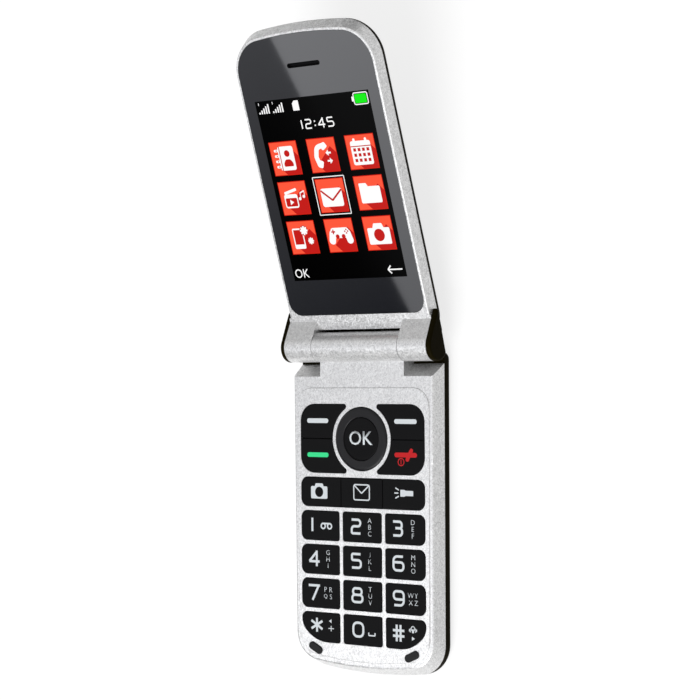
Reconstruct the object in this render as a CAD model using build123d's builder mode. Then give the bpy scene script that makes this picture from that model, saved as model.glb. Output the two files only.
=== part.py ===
from build123d import *
import os
from math import acos, atan2, cos, hypot, radians, sin

os.makedirs("parts", exist_ok=True)

# A clamshell mobile phone, lying open on its back.
# +X is to the right of the keypad, +Y runs from its bottom end to the hinge, +Z out of its face.
# The origin is the middle of the base's flat back. All lengths are millimetres, angles degrees.

# ------------------------------------------------------------------ driving dimensions: case
case_width = 54.8          # both halves, at their parting lines
case_corner = 9.0          # corner radius of the base's face at its bottom end, in plan
case_bow = 2.35            # how far the middle of each far end stands out beyond its corners
case_taper = 0.5           # each half is this much narrower on each side at its far end
wall = 1.2                 # moulded walls
edge_round = 0.7           # rounded rims of the silver mouldings

# ------------------------------------------------------------------ driving dimensions: keys
key_web = 1.15             # silver web between two key openings
row_height = 9.46          # number keys
strip_height = 9.43        # the camera, message and torch keys
block_height = 21.74       # soft keys with the call and end keys below them
centre_key_width = 15.12
strip_middle_width = 16.0
field_margin = 2.92        # from the outer keys to the edge of the face
nav_radius = 10.02         # opening of the navigation ring
ok_radius = 6.75           # opening in that ring for the OK key
nav_web = 1.1              # silver ring round the navigation ring
key_play = 0.1             # gap between a key and its opening
split_gap = 0.16           # between keys that share an opening
key_proud = 0.2            # key tops above the face
key_travel = 0.35
key_lip = 0.35             # flange that holds a key under the face
key_lip_thickness = 0.4
key_edge = 0.25            # rounded top edge of a key
small_corner = 0.9         # inner corners of the keys
side_corner = 2.3          # outer corners of the number keys
strip_corner = 2.7
block_corner = 5.4
last_row_slant = (6.0, 0.5)     # slanted lower corners of the star and hash keys: width, share of the row
last_row_corner = 11.0          # radius at that slant's lower end
last_row_bend = 0.57            # the same at its upper end, as a share of the row's height
last_row_shoulder = 0.21        # their outer upper corners, as a share of it

# ------------------------------------------------------------------ driving dimensions: base
neck_length = 17.7         # hinge axis to the upper keys
chin_length = 6.75         # last row of keys to the end of the face
base_end_slope = 2.4       # the bottom end leans out by this much from face to parting line
base_side_slope = 0.6      # the same at the sides
base_thickness = 10.0      # flat back to face
rear_depth = 4.3           # flat back to parting line
rear_round = 2.5           # rounded back edges of the base
plate_step = 0.3           # the keypad's plate stands above its border
plate_border = 1.3         # width of that border
plate_corner = 6.0
plate_above_keys = 5.0
face_wall = 1.2            # thickness under the border
floor_thickness = 2.0      # rear shell, with the recess for the battery cover in it
pad_length, pad_width, pad_tilt = 5.4, 2.5, 25.0   # rubber buffers near the bottom corners
pad_from_end, pad_from_side = 4.85, 8.35
pad_seat, pad_proud = 0.5, 0.5

# ------------------------------------------------------------------ driving dimensions: hinge
opening_angle = 160.6      # closed to fully open
axis_depth = 0.7           # hinge axis below the base's face
barrel_radius = 4.7
barrel_length = 32.8
knuckle_gap = 0.15         # barrel end to lid knuckle
pocket_length = 9.2        # hinge axis to the edge of the pocket under a knuckle
pocket_slope_length = 3.8
pocket_side_gap = 0.3
rear_corner_back = 1.6     # the rear shell's corners end this far short of the hinge axis
rear_corner_round = 2.6    # their radius in plan
hinge_bore = 3.2
hinge_play = 0.06          # running clearance of pin and shaft, on the radius
cam_shaft_radius = 1.2
cam_head_width = 4.2       # square head that turns the cam
cam_head_length = 4.7
cartridge_length = 14.2
cartridge_gap = 0.08       # pressed into the barrel, on the radius
pin_length = 12.0
pin_wall = 0.8
pin_overlap = 5.4          # how far the pin reaches into the barrel
flex_roll_radius, flex_roll_length = 1.6, 15.0
flex_thickness = 0.15
flex_width = 3.0

# ------------------------------------------------------------------ driving dimensions: lid
lid_face_offset = 1.3      # lid's face plane behind the hinge axis
lid_depth = 3.6            # face to parting line
lid_rear_depth = 3.3       # parting line to back
lid_rear_round = 3.2
lid_foot_corner = 9.0      # the rear cover's corners beside the hinge, in plan
lid_corner = 11.0          # the face's far corners, in plan
lid_short = 0.5            # the lid's far end stops this much short of the base's
lid_side_slope = 0.75
lid_end_slope = 1.8
lens_rim = 0.7             # silver rim beside the window
lens_from_axis = 10.1
lens_lower_corner = 4.5
lens_thickness = 0.95
lens_recess = 0.1
lens_play = 0.05
crease_from_axis = 8.15    # where the lid's face turns up into a knuckle
lid_foot = 5.3             # hinge axis to the lid's edge between the knuckles
lid_rear_foot = 3.3        # the same for the rear cover below it
rim_round = 0.4
cap_thickness = 1.4        # black end caps of the knuckles
cap_inset = 0.2            # they reach this far in over the knuckles
cap_round = 0.6
cap_crease = (8.6, -1.45)  # corners of an end cap, along the lid and out of its face
cap_tip = (11.2, -3.9)
cap_heel = (-6.0, -3.15)   # its back runs from the tip towards this point
cap_corner, cap_tip_corner = 2.0, 0.4
cap_root, cap_root_foot = 0.9, 3.0   # its foot in the rear cover: depth, and distance from the axis
cap_root_top, cap_root_low = 2.4, 0.4   # reaches this far above and below the parting line
screen_from_side, screen_height = 5.8, 57.6
screen_from_axis = 21.6
lcd_side_margin, lcd_foot_margin, lcd_top_margin = 1.6, 4.1, 2.8
lcd_thickness = 2.2
ledge_thickness = 0.8      # carries the window
slot_length, slot_width = 12.4, 1.5      # earpiece
rear_wall = 1.0

# ------------------------------------------------------------------ driving dimensions: inside
seat_gap = 0.05            # between parts that lie on each other
inner_gap = 0.3            # between boards, mats and the walls and bosses beside them
board_thickness = 0.8
board_top = 7.3            # above the flat back
board_from_wall, board_corner = 1.8, 5.0
connector_length, connector_height = 2.0, 0.9
mat_thickness, mat_from_side, mat_corner = 0.3, 5.0, 8.0
mat_margin = 0.5           # mat past the keys
mat_gap = 0.1              # mat below a key that is fully pressed
dome_film, dome_height, dome_radius = 0.1, 0.1, 2.2
nav_dome_radius = 8.4      # places of the four switches under the ring
nav_relief, nav_relief_height = 0.4, 0.85    # room for the OK key's flange under the ring
nav_proud, nav_round, nav_pin_radius = 0.35, 0.9, 0.2
ok_dish, ok_dish_width = 0.15, 0.85          # depth, and its share of the key's width
battery_from_side, battery_length, battery_thickness = 9.4, 52.0, 4.0
battery_top_edge = 14.0    # upper end of the battery
battery_rise = 0.2         # battery above its cover
battery_edge = 1.0
contact_from_side, contact_pitch, contact_blade = 8.0, 3.3, 1.2
contact_block, contact_depth, contact_from_battery = 10.0, 2.4, 0.15
cover_thickness = 1.1
cover_past_side = 1.2      # outer face past the battery; the dovetail is wider inside
cover_dovetail = 0.7
cover_gap = 0.1
cover_past_battery = 4.0   # at the battery's upper end
grip_length, grip_width, grip_pitch, grip_count, grip_depth = 16.0, 0.8, 2.0, 4, 0.3
bay_clearance = 0.3        # battery to its bay
bay_past_battery = 2.8
rib_thickness, rib_past_battery = 1.0, 5.0
post_radius, post_x, post_from_pocket = 1.2, 16.0, 3.2
card_width, card_length, card_from_battery, card_wall = 12.8, 18.0, 14.0, 1.2
card_height, card_floor = 1.05, 0.2
screw_radius, screw_head_radius, screw_head_height = 0.75, 1.5, 1.0
screw_length = 7.5
screw_from_cover = 2.0     # beside the battery cover
screw_from_pocket = 3.75
screw_from_end = 5.85
boss_radius = 1.9
jack_radius, jack_length, jack_width = 1.8, 14.2, 6.0
jack_y = 20.0
usb_width, usb_height, usb_depth, usb_y = 7.6, 2.6, 5.6, 29.2
usb_shell, usb_edge, usb_tongue = 0.3, 0.5, 0.5
volume_length, volume_height, volume_proud, volume_y = 15.0, 2.0, 0.4, 3.0
volume_travel = 0.3
volume_depth = 1.9         # key behind the case's side
volume_drop = 0.7          # middle of the key below the board's upper face
volume_finger = 2.4
switch_length, switch_depth, switch_height, switch_button = 4.6, 2.6, 1.05, 0.3
speaker_from_side, speaker_length, speaker_width, speaker_height = 15.65, 14.5, 13.5, 3.0
speaker_corner, speaker_yoke_radius, speaker_yoke_height = 2.0, 4.5, 0.6
speaker_from_pocket = 12.4
sound_slots, sound_slot_pitch, sound_slot_length, sound_slot_width = 5, 2.2, 8.0, 1.0
motor_radius, motor_height, motor_from_rib = 3.9, 2.5, 5.45
microphone_radius, microphone_height, sound_hole_radius = 2.0, 1.4, 0.5
microphone_from_side, microphone_from_edge = 14.4, 2.4
antenna_length, antenna_height, antenna_corner = 8.6, 1.5, 5.0
antenna_finger_x, antenna_finger = 9.5, 1.0
shield_height, shield_wall, shield_hole, shield_pitch = 2.05, 0.2, 0.4, 3.0
processor_from_side, processor_from_speaker, radio_from_rib = 16.4, 2.0, 10.45
shield_from_battery, shield_from_edge = 3.2, 1.0

# ------------------------------------------------------------------ driving dimensions: inside the lid
lid_hollow_foot = 9.0      # hinge axis to the hollow of the rear cover
lid_slant = 4.0            # the rear cover's end leans by this much behind the knuckles
lid_board_width, lid_board_length, lid_board_thickness = 24.0, 12.0, 0.6
lid_board_depth = 4.0      # lid's face to that board
bracket_thickness, bracket_lip, bracket_gap = 0.4, 0.5, 0.1
earpiece_length, earpiece_width, earpiece_height = 13.0, 6.0, 1.75
mesh_length, mesh_width, mesh_thickness = 13.0, 2.2, 0.3
mesh_pitch, mesh_hole, mesh_columns, mesh_rows = 0.8, 0.25, 14, 2
camera_size, camera_from_end, camera_window_radius, camera_window_thickness = 7.0, 11.6, 3.2, 0.9
torch_x, torch_radius = 9.0, 1.6
magnet_length, magnet_width, magnet_height = 5.0, 3.0, 1.5
magnet_x, magnet_from_lens = -11.5, 3.4
lid_screw_head_radius, lid_screw_head_height, lid_screw_radius = 1.3, 0.5, 0.7
lid_screw_length = 4.0
lid_boss_radius, lid_boss_length = 1.8, 0.6
lid_screw_from_side, lid_screw_from_foot = 5.2, 4.1      # the lower two, from the side and the window's foot
lid_screw_far_side, lid_screw_from_end = 9.4, 8.1        # the upper two

# ------------------------------------------------------------------ worked out from them
half_width = case_width / 2
battery_width = case_width - 2 * battery_from_side
screen_width = case_width - 2 * screen_from_side
face_half = half_width - base_side_slope
key_left = face_half - field_margin               # outer edge of the side keys
centre_half = centre_key_width / 2
side_inner = centre_half + key_web
reach = (neck_length + block_height + key_web + strip_height
         + 4 * (key_web + row_height) + chin_length + base_end_slope)   # axis to far end
hinge_y = (reach - barrel_radius) / 2             # puts the origin at the middle of the base
hinge_z = base_thickness - axis_depth
end_y = hinge_y - reach                           # bottom end, at the parting line
face_end_y = end_y + base_end_slope
border_z = base_thickness - plate_step
block_top = hinge_y - neck_length
block_bottom = block_top - block_height
nav_y = (block_top + block_bottom) / 2
strip_top = block_bottom - key_web
strip_bottom = strip_top - strip_height
last_bottom = strip_bottom - 4 * (key_web + row_height)
key_top = base_thickness + key_proud
volume_z = board_top - volume_drop
face_under = border_z - face_wall + plate_step    # underside of the face
lip_top = face_under - seat_gap
key_bottom = lip_top - key_lip_thickness
mat_top = key_bottom - key_travel - mat_gap
barrel_half = barrel_length / 2
neck_half = barrel_half - pocket_side_gap
pocket_y = hinge_y - pocket_length
pocket_low_y = pocket_y + pocket_slope_length
rear_corner_y = hinge_y - rear_corner_back
base_top_y = hinge_y + barrel_radius
board_under = board_top - board_thickness
mat_half = half_width - mat_from_side
cavity_y = pocket_y - wall                        # inner end beside the neck
cavity_neck_y = hinge_y - barrel_radius - wall    # inner end in the neck

lid_half = half_width
lid_lean = 180 - opening_angle
lid_face = -lid_face_offset
lid_parting = lid_face - lid_depth
lid_back = lid_parting - lid_rear_depth
lens_half = lid_half - lid_side_slope - lens_rim
lid_reach = reach - lid_short
lens_end = lid_reach - lid_end_slope - lens_rim
lens_top = lid_face - lens_recess
lens_floor = lens_top - lens_thickness - seat_gap
ledge_under = lens_floor - ledge_thickness
knuckle_inner = barrel_half + knuckle_gap
lens_corner = lid_corner - lens_rim / 2
cap_start = half_width - cap_inset
speaker_x, speaker_y = half_width - speaker_from_side, pocket_y - speaker_from_pocket
battery_foot = battery_top_edge - battery_length
contact_x = battery_width / 2 - contact_from_side
battery_under = cover_thickness + battery_rise
bay_half = battery_width / 2 + bay_clearance
cover_top_y = battery_top_edge + cover_past_battery
cover_half = battery_width / 2 + cover_past_side
recess_depth = cover_thickness + cover_gap + seat_gap
rib_x = bay_half + cover_gap + seat_gap
screw_x = cover_half + cover_dovetail + screw_from_cover
board_half = screw_x - boss_radius - inner_gap
processor_left = processor_from_side - half_width
processor_right = speaker_x - speaker_width / 2 - processor_from_speaker
radio_half = rib_x - radio_from_rib
rib_y = battery_foot - bay_clearance - rib_thickness - cover_gap
component_top = board_under - seat_gap            # what hangs under the board reaches up to here
floor_top = floor_thickness + seat_gap
screen_end = screen_from_axis + screen_height
slot_at = (screen_end + lens_end) / 2
camera_u = lid_reach - camera_from_end
magnet_u = lens_from_axis + magnet_from_lens
lid_screw_places = [
    (side * (half_width - from_side), u) for side in (-1, 1)
    for from_side, u in ((lid_screw_from_side, lens_from_axis + lid_screw_from_foot),
                         (lid_screw_far_side, lid_reach - lid_screw_from_end))]
lcd_half = screen_width / 2 + lcd_side_margin
lcd_foot = screen_from_axis - lcd_foot_margin
lcd_end = screen_end + lcd_top_margin
lcd_front = lens_floor - seat_gap
lcd_back = lcd_front - lcd_thickness
rear_inner = lid_back + rear_wall

# Planes of the lid in its open position: one on its face side, one seen from the side.
lid_up = (0, cos(radians(lid_lean)), sin(radians(lid_lean)))
lid_out = (0, -sin(radians(lid_lean)), cos(radians(lid_lean)))
lid_plane = Plane(origin=(0, hinge_y, hinge_z), x_dir=(1, 0, 0), z_dir=lid_out)
lid_side = Plane(origin=(0, hinge_y, hinge_z), x_dir=lid_up, z_dir=(1, 0, 0))


# ------------------------------------------------------------------ shared shapes
def case_outline(half, near, far, corner, near_corner=0.0):
    """Plan of a case half: slightly tapered sides and a bowed, rounded far end."""
    towards_near = 1 if near > far else -1
    shoulder = far + towards_near * case_bow
    far_half = half - case_taper
    with BuildSketch() as plan:
        with BuildLine():
            Polyline((-far_half, shoulder), (-half, near), (half, near), (far_half, shoulder))
            ThreePointArc((far_half, shoulder), (0, far), (-far_half, shoulder))
        make_face()
        far_end = [v for v in plan.vertices() if abs(v.Y - shoulder) < abs(v.Y - near)]
        fillet(far_end, corner)
        if near_corner:
            near_end = plan.vertices().filter_by(lambda v: abs(v.Y - near) < seat_gap)
            fillet(near_end, near_corner)
    return plan.sketch


def rounded_polygon(points, radii):
    """Polygon whose corners each have a radius of their own."""
    with BuildSketch() as shape:
        with BuildLine():
            Polyline(*points, close=True)
        make_face()
        for point, radius in zip(points, radii):
            fillet(shape.vertices().sort_by_distance((point[0], point[1], 0))[0], radius)
    return shape.sketch


def box_face(left, right, bottom, top):
    """Plain rectangle given by its sides."""
    with BuildSketch() as shape:
        with Locations(((left + right) / 2, (bottom + top) / 2)):
            Rectangle(right - left, top - bottom)
    return shape.sketch


def block_opening(side):
    """Opening of a soft key and the call or end key below it, hollowed round the ring."""
    with BuildSketch() as shape:
        add(rounded_polygon([(-key_left, block_bottom), (0, block_bottom), (0, block_top),
                             (-key_left, block_top)], [block_corner, small_corner, small_corner,
                                                       block_corner]))
        with Locations((0, nav_y)):
            Circle(nav_radius + nav_web, mode=Mode.SUBTRACT)
        horns = shape.vertices().sort_by(Axis.X)[-2:]
        fillet(horns, small_corner)
        if side > 0:
            mirror(about=Plane.YZ, mode=Mode.REPLACE)
    return shape.sketch


def number_opening(column, row):
    """Opening of one number key: column -1, 0 or 1 and row 0 to 3 from the top."""
    top = strip_bottom - key_web - row * (row_height + key_web)
    bottom = top - row_height
    if column == 0:
        corners = [(-centre_half, bottom), (centre_half, bottom), (centre_half, top),
                   (-centre_half, top)]
        return rounded_polygon(corners, [small_corner] * 4)
    corners = [(column * side_inner, bottom), (column * side_inner, top), (column * key_left, top)]
    radii = [small_corner, small_corner, side_corner]
    if row < 3:
        return rounded_polygon(corners + [(column * key_left, bottom)], radii + [side_corner])
    slant_width, slant_share = last_row_slant
    corners += [(column * key_left, bottom + slant_share * row_height),
                (column * (key_left - slant_width), bottom)]
    return rounded_polygon(corners, radii[:2] + [last_row_shoulder * row_height,
                                                 last_row_bend * row_height, last_row_corner])


def save(builder, name):
    """Label a finished piece and write its file."""
    builder.part.label = name
    export_step(builder.part, "parts/" + name + ".step")
    print(f"{name:22s} {len(builder.part.solids()):3d} solids {builder.part.volume:10.2f} mm3")


strip_opening = rounded_polygon(
    [(-key_left, strip_bottom), (key_left, strip_bottom), (key_left, strip_top),
     (-key_left, strip_top)], [strip_corner] * 4)
left_block, right_block = block_opening(-1), block_opening(1)
case_screw_places = [(side * screw_x, y) for side in (-1, 1)
                     for y in (pocket_y - screw_from_pocket, face_end_y + screw_from_end)]
post_places = [(side * post_x, pocket_y - post_from_pocket) for side in (-1, 1)]
pad_places = [(side * (face_half - pad_from_side), face_end_y + pad_from_end, side * pad_tilt)
              for side in (-1, 1)]

# ================================================================== BASE
# ------------------------------------------------------------------ front shell
with BuildPart() as base_front_shell:
    with BuildSketch(Plane.XY.offset(rear_depth)):
        add(case_outline(half_width, hinge_y, end_y, case_corner + base_side_slope))
    with BuildSketch(Plane.XY.offset(border_z)):
        add(case_outline(face_half, hinge_y, face_end_y, case_corner))
    loft()
    rim = base_front_shell.faces().sort_by(Axis.Z)[-1].edges().filter_by(
        lambda e: e.center().Y < hinge_y - barrel_radius)
    fillet(rim, edge_round)
    # the keypad's plate
    with BuildSketch(Plane.XY.offset(border_z)):
        add(case_outline(face_half - plate_border, block_top + plate_above_keys,
                         face_end_y + plate_border + plate_step, case_corner - plate_border,
                         plate_corner))
    extrude(amount=plate_step)
    fillet(base_front_shell.faces().sort_by(Axis.Z)[-1].edges(), plate_step * 0.8)
    # the pockets that the lid's knuckles turn in
    for side in (-1, 1):
        with BuildSketch(Plane.YZ.offset(side * neck_half)):
            add(rounded_polygon(
                [(pocket_y, border_z), (pocket_low_y, rear_depth), (hinge_y + wall, rear_depth),
                 (hinge_y + wall, base_thickness + wall), (pocket_y, base_thickness + wall)], []))
        extrude(amount=side * half_width, mode=Mode.SUBTRACT)
    # hollow inside: below the face, and on into the neck
    with BuildSketch(Plane.XY.offset(rear_depth)):
        add(case_outline(half_width - wall, cavity_y, end_y + wall, case_corner - wall))
    with BuildSketch(Plane.XY.offset(face_under)):
        add(case_outline(face_half - wall, cavity_y, face_end_y + wall, case_corner - wall))
    loft(mode=Mode.SUBTRACT)
    with BuildSketch(Plane.XY.offset(rear_depth)):
        add(box_face(wall - neck_half, neck_half - wall, cavity_y - wall, cavity_neck_y))
    extrude(amount=face_under - rear_depth, mode=Mode.SUBTRACT)
    # hinge barrel, on a neck that reaches down to the rear shell
    with BuildSketch(Plane.YZ.offset(-barrel_half)):
        with Locations((hinge_y, hinge_z)):
            Circle(barrel_radius)
    extrude(amount=barrel_length)
    with BuildSketch(Plane.YZ.offset(-barrel_half)):
        with Locations((hinge_y, hinge_z)):
            Circle(hinge_bore)
    extrude(amount=barrel_length, mode=Mode.SUBTRACT)
    # slot for the display's flexible lead, from the bore to the board
    with BuildSketch(Plane.XY.offset(board_top)):
        add(box_face(-3 * flex_width - seat_gap, -2 * flex_width + seat_gap, cavity_y, hinge_y))
    extrude(amount=2 * flex_thickness + seat_gap, mode=Mode.SUBTRACT)
    # key openings
    with BuildSketch(Plane.XY.offset(face_under - key_play)):
        add([left_block, right_block, strip_opening])
        add([number_opening(column, row) for column in (-1, 0, 1) for row in range(4)])
        with Locations((0, nav_y)):
            Circle(nav_radius)
    extrude(amount=base_thickness, mode=Mode.SUBTRACT)
    # screw bosses
    with BuildSketch(Plane.XY.offset(rear_depth)):
        with Locations(*case_screw_places):
            Circle(boss_radius)
            Circle(screw_radius + seat_gap, mode=Mode.SUBTRACT)
    extrude(amount=face_under - rear_depth)
    # seats of the rubber pads
    for x, y, tilt in pad_places:
        with BuildSketch(Plane.XY.offset(base_thickness - pad_seat)):
            with Locations((x, y)):
                SlotOverall(pad_length + 2 * seat_gap, pad_width + 2 * seat_gap, rotation=tilt)
        extrude(amount=1, mode=Mode.SUBTRACT)
    # left side: socket, headset jack and volume key
    with BuildSketch(Plane.YZ.offset(-half_width - wall)):
        with Locations((usb_y, board_under - usb_height / 2)):
            Rectangle(usb_width + 2 * key_play, usb_height + 2 * key_play)
        with Locations((jack_y, rear_depth)):
            Circle(jack_radius)
        with Locations((volume_y, volume_z)):
            SlotOverall(volume_length + 2 * key_play, volume_height + 2 * key_play)
    extrude(amount=wall + 2 * wall + base_side_slope, mode=Mode.SUBTRACT)
save(base_front_shell, "base_front_shell")

# ------------------------------------------------------------------ rear shell
def dovetail(half, depth):
    """Section of the battery cover or of its recess, wider inside than outside."""
    with BuildSketch() as shape:
        with BuildLine():
            Polyline((-half, 0), (half, 0), (half + cover_dovetail, depth),
                     (-half - cover_dovetail, depth), close=True)
        make_face()
    return shape.sketch


def rear_outline():
    """Plan of the base's back: its corners stop short of the lid's knuckles."""
    with BuildSketch() as plan:
        add(case_outline(half_width, base_top_y, end_y, case_corner + base_side_slope))
        for left, right in ((-case_width, -neck_half), (neck_half, case_width)):
            add(box_face(left, right, rear_corner_y, base_top_y + wall), mode=Mode.SUBTRACT)
        outer = plan.vertices().filter_by(
            lambda v: abs(v.Y - rear_corner_y) < seat_gap and abs(v.X) > neck_half + wall)
        fillet(outer, rear_corner_round)
    return plan.sketch


with BuildPart() as rear_blank:
    with BuildSketch():
        add(rear_outline())
    extrude(amount=rear_depth)
    fillet(rear_blank.faces().sort_by(Axis.Z)[0].edges(), rear_round)

with BuildPart() as base_rear_shell:
    add(rear_blank.part)
    # hollow, with a floor and a solid end under the barrel
    with BuildSketch(Plane.XY.offset(floor_thickness)):
        add(case_outline(half_width - wall, cavity_y, end_y + wall, case_corner - wall))
    extrude(amount=rear_depth, mode=Mode.SUBTRACT)
    # recess of the battery cover, open at the bottom end, and the battery's bay
    with BuildSketch(Plane.XZ.offset(-cover_top_y - cover_gap)):
        add(dovetail(cover_half + cover_gap, recess_depth))
    extrude(amount=2 * reach, mode=Mode.SUBTRACT)
    with BuildSketch():
        add(box_face(-bay_half, bay_half, battery_foot - bay_clearance,
                     battery_top_edge + bay_past_battery))
    extrude(amount=floor_thickness, mode=Mode.SUBTRACT)
    # ribs beside and below the battery carry the board
    with BuildSketch(Plane.XY.offset(recess_depth + seat_gap)):
        for left in (-rib_x - rib_thickness, rib_x):
            add(box_face(left, left + rib_thickness, battery_foot - rib_past_battery, battery_top_edge))
        add(box_face(-rib_x, rib_x, rib_y, rib_y + rib_thickness))
    extrude(amount=component_top - recess_depth - seat_gap)
    # posts under the upper end of the board
    with BuildSketch(Plane.XY.offset(floor_thickness)):
        with Locations(*post_places):
            Circle(post_radius)
    extrude(amount=component_top - floor_thickness)
    # columns and sunk holes of the case screws
    with BuildSketch(Plane.XY.offset(floor_thickness)):
        with Locations(*case_screw_places):
            Circle(boss_radius)
    extrude(amount=rear_depth - floor_thickness)
    with BuildSketch():
        with Locations(*case_screw_places):
            Circle(screw_radius + 2 * seat_gap)
    extrude(amount=rear_depth, mode=Mode.SUBTRACT)
    with BuildSketch():
        with Locations(*case_screw_places):
            Circle(screw_head_radius + key_play)
    extrude(amount=screw_head_height + 2 * key_play, mode=Mode.SUBTRACT)
    # sound slots over the loudspeaker
    with BuildSketch():
        with Locations((speaker_x, speaker_y)):
            with GridLocations(sound_slot_pitch, 0, sound_slots, 1):
                SlotOverall(sound_slot_length, sound_slot_width, rotation=90)
    extrude(amount=floor_thickness, mode=Mode.SUBTRACT)
    # left side: headset jack and lower edge of the socket
    with BuildSketch(Plane.YZ.offset(-half_width - wall)):
        with Locations((jack_y, rear_depth)):
            Circle(jack_radius)
        with Locations((usb_y, board_under - usb_height / 2)):
            Rectangle(usb_width + 2 * key_play, usb_height + 2 * key_play)
    extrude(amount=4 * wall, mode=Mode.SUBTRACT)
save(base_rear_shell, "base_rear_shell")

# ------------------------------------------------------------------ battery cover
with BuildPart() as battery_cover:
    with BuildSketch(Plane.XZ.offset(-cover_top_y)):
        add(dovetail(cover_half, cover_thickness))
    extrude(amount=2 * reach)
    add(rear_blank.part, mode=Mode.INTERSECT)
    # grip grooves for the thumb
    with BuildSketch():
        with Locations((0, cover_top_y - grip_count * grip_pitch)):
            with GridLocations(0, grip_pitch, 1, grip_count):
                SlotOverall(grip_length, grip_width)
    extrude(amount=grip_depth, mode=Mode.SUBTRACT)
save(battery_cover, "battery_cover")


# ------------------------------------------------------------------ helpers for the inner parts
def box_between(low, high, mode=Mode.ADD):
    """Box between two opposite corners."""
    size = [b - a for a, b in zip(low, high)]
    with Locations(tuple((a + b) / 2 for a, b in zip(low, high))):
        Box(*size, mode=mode)


def base_side(y, z):
    """How far the base's side stands from the middle, between its parting line and its border."""
    share = (z - rear_depth) / (border_z - rear_depth)
    far = end_y + case_bow + share * base_end_slope
    return half_width - share * base_side_slope - case_taper * (hinge_y - y) / (hinge_y - far)


board_foot = face_end_y + wall + board_from_wall
board_head = cavity_y - inner_gap
neck_head = cavity_neck_y - inner_gap

# ------------------------------------------------------------------ battery and its contacts
battery_middle = battery_under + battery_thickness / 2
contact_places = [contact_x + place * contact_pitch for place in (-1, 0, 1)]
with BuildPart() as battery_pack:
    box_between((-battery_width / 2, battery_foot, battery_under),
                (battery_width / 2, battery_top_edge, battery_under + battery_thickness))
    fillet(battery_pack.edges().filter_by(Axis.Y), battery_edge)
    # three sunk contact pads at the upper end
    with BuildSketch(Plane.XZ.offset(-battery_top_edge)):
        with Locations(*[(x, battery_middle) for x in contact_places]):
            Rectangle(contact_blade + inner_gap, contact_blade + 2 * inner_gap)
    extrude(amount=seat_gap, mode=Mode.SUBTRACT)
save(battery_pack, "battery_pack")

with BuildPart() as battery_contacts:
    contact_foot = battery_top_edge + contact_from_battery
    box_between((contact_x - contact_block / 2, contact_foot, floor_top),
                (contact_x + contact_block / 2, contact_foot + contact_depth, component_top))
    # three sprung blades that reach the battery's pads
    for x in contact_places:
        box_between((x - contact_blade / 2, battery_top_edge, battery_middle - contact_blade / 2),
                    (x + contact_blade / 2, contact_foot, battery_middle + contact_blade / 2))
save(battery_contacts, "battery_contacts")

# ------------------------------------------------------------------ main board and the display's lead
flex_left = -3 * flex_width
flex_right = flex_left + flex_width
connector_foot = neck_head - connector_length - inner_gap
with BuildPart() as main_board:
    with BuildSketch(Plane.XY.offset(board_under)):
        add(rounded_polygon([(-board_half, board_foot), (board_half, board_foot),
                             (board_half, board_head), (-board_half, board_head)],
                            [board_corner, board_corner, small_corner, small_corner]))
        # tongue into the neck, and ear that carries the socket
        add(box_face(wall + inner_gap - neck_half, neck_half - wall - inner_gap,
                     board_head - small_corner, neck_head))
        add(box_face(wall + inner_gap - base_side(usb_y, board_top), 0,
                     usb_y - usb_width / 2, usb_y + usb_width / 2))
    extrude(amount=board_thickness)
    box_between((flex_left - seat_gap, connector_foot, board_top),
                (flex_right + seat_gap, connector_foot + connector_length, board_top + connector_height))
save(main_board, "main_board")

with BuildPart() as flex_tail:
    box_between((flex_left, connector_foot + connector_length, board_top + seat_gap),
                (flex_right, hinge_y, board_top + seat_gap + flex_thickness))
save(flex_tail, "flex_tail")


# ------------------------------------------------------------------ shields over the electronics
def shield_can(left, right, bottom, top):
    """Pressed steel can, open towards the board, with rows of small holes."""
    low = component_top - shield_height
    box_between((left, bottom, low), (right, top, component_top))
    box_between((left + shield_wall, bottom + shield_wall, low + shield_wall),
                (right - shield_wall, top - shield_wall, board_under), mode=Mode.SUBTRACT)
    columns = int((right - left) / shield_pitch) - 1
    rows = int((top - bottom) / shield_pitch) - 1
    with Locations(((left + right) / 2, (bottom + top) / 2, low)):
        with GridLocations(shield_pitch, shield_pitch, columns, rows):
            Cylinder(shield_hole, 3 * shield_wall, mode=Mode.SUBTRACT)


with BuildPart() as processor_shield:
    shield_can(processor_left, processor_right, battery_top_edge + shield_from_battery,
               board_head - shield_from_edge)
save(processor_shield, "processor_shield")

with BuildPart() as radio_shield:
    shield_can(-radio_half, radio_half, board_foot + shield_from_edge, rib_y - shield_from_edge)
save(radio_shield, "radio_shield")

# ------------------------------------------------------------------ holder of the two cards, over the battery
with BuildPart() as sim_holder:
    card_top = battery_top_edge - card_from_battery
    card_low = component_top - card_height
    card_half = card_width / 2
    for centre in (-battery_width / 4, battery_width / 4):
        box_between((centre - card_half - card_wall, card_top - card_length, card_low),
                    (centre + card_half + card_wall, card_top, component_top))
        # slot for the card, open towards the battery's lower end
        box_between((centre - card_half, card_top - 2 * card_length, card_low + card_floor),
                    (centre + card_half, card_top - 2 * card_wall, component_top), mode=Mode.SUBTRACT)
    box_between((card_half + card_wall - battery_width / 4, card_top - card_wall, card_low),
                (battery_width / 4 - card_half - card_wall, card_top, component_top))
save(sim_holder, "sim_holder")

# ------------------------------------------------------------------ sound, vibration, radio
with BuildPart() as loudspeaker:
    with BuildSketch(Plane.XY.offset(floor_top)):
        with Locations((speaker_x, speaker_y)):
            RectangleRounded(speaker_width, speaker_length, speaker_corner)
    extrude(amount=speaker_height)
    with BuildSketch(Plane.XY.offset(floor_top + speaker_height)):
        with Locations((speaker_x, speaker_y)):
            Circle(speaker_yoke_radius)
    extrude(amount=speaker_yoke_height)
save(loudspeaker, "loudspeaker")

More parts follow.
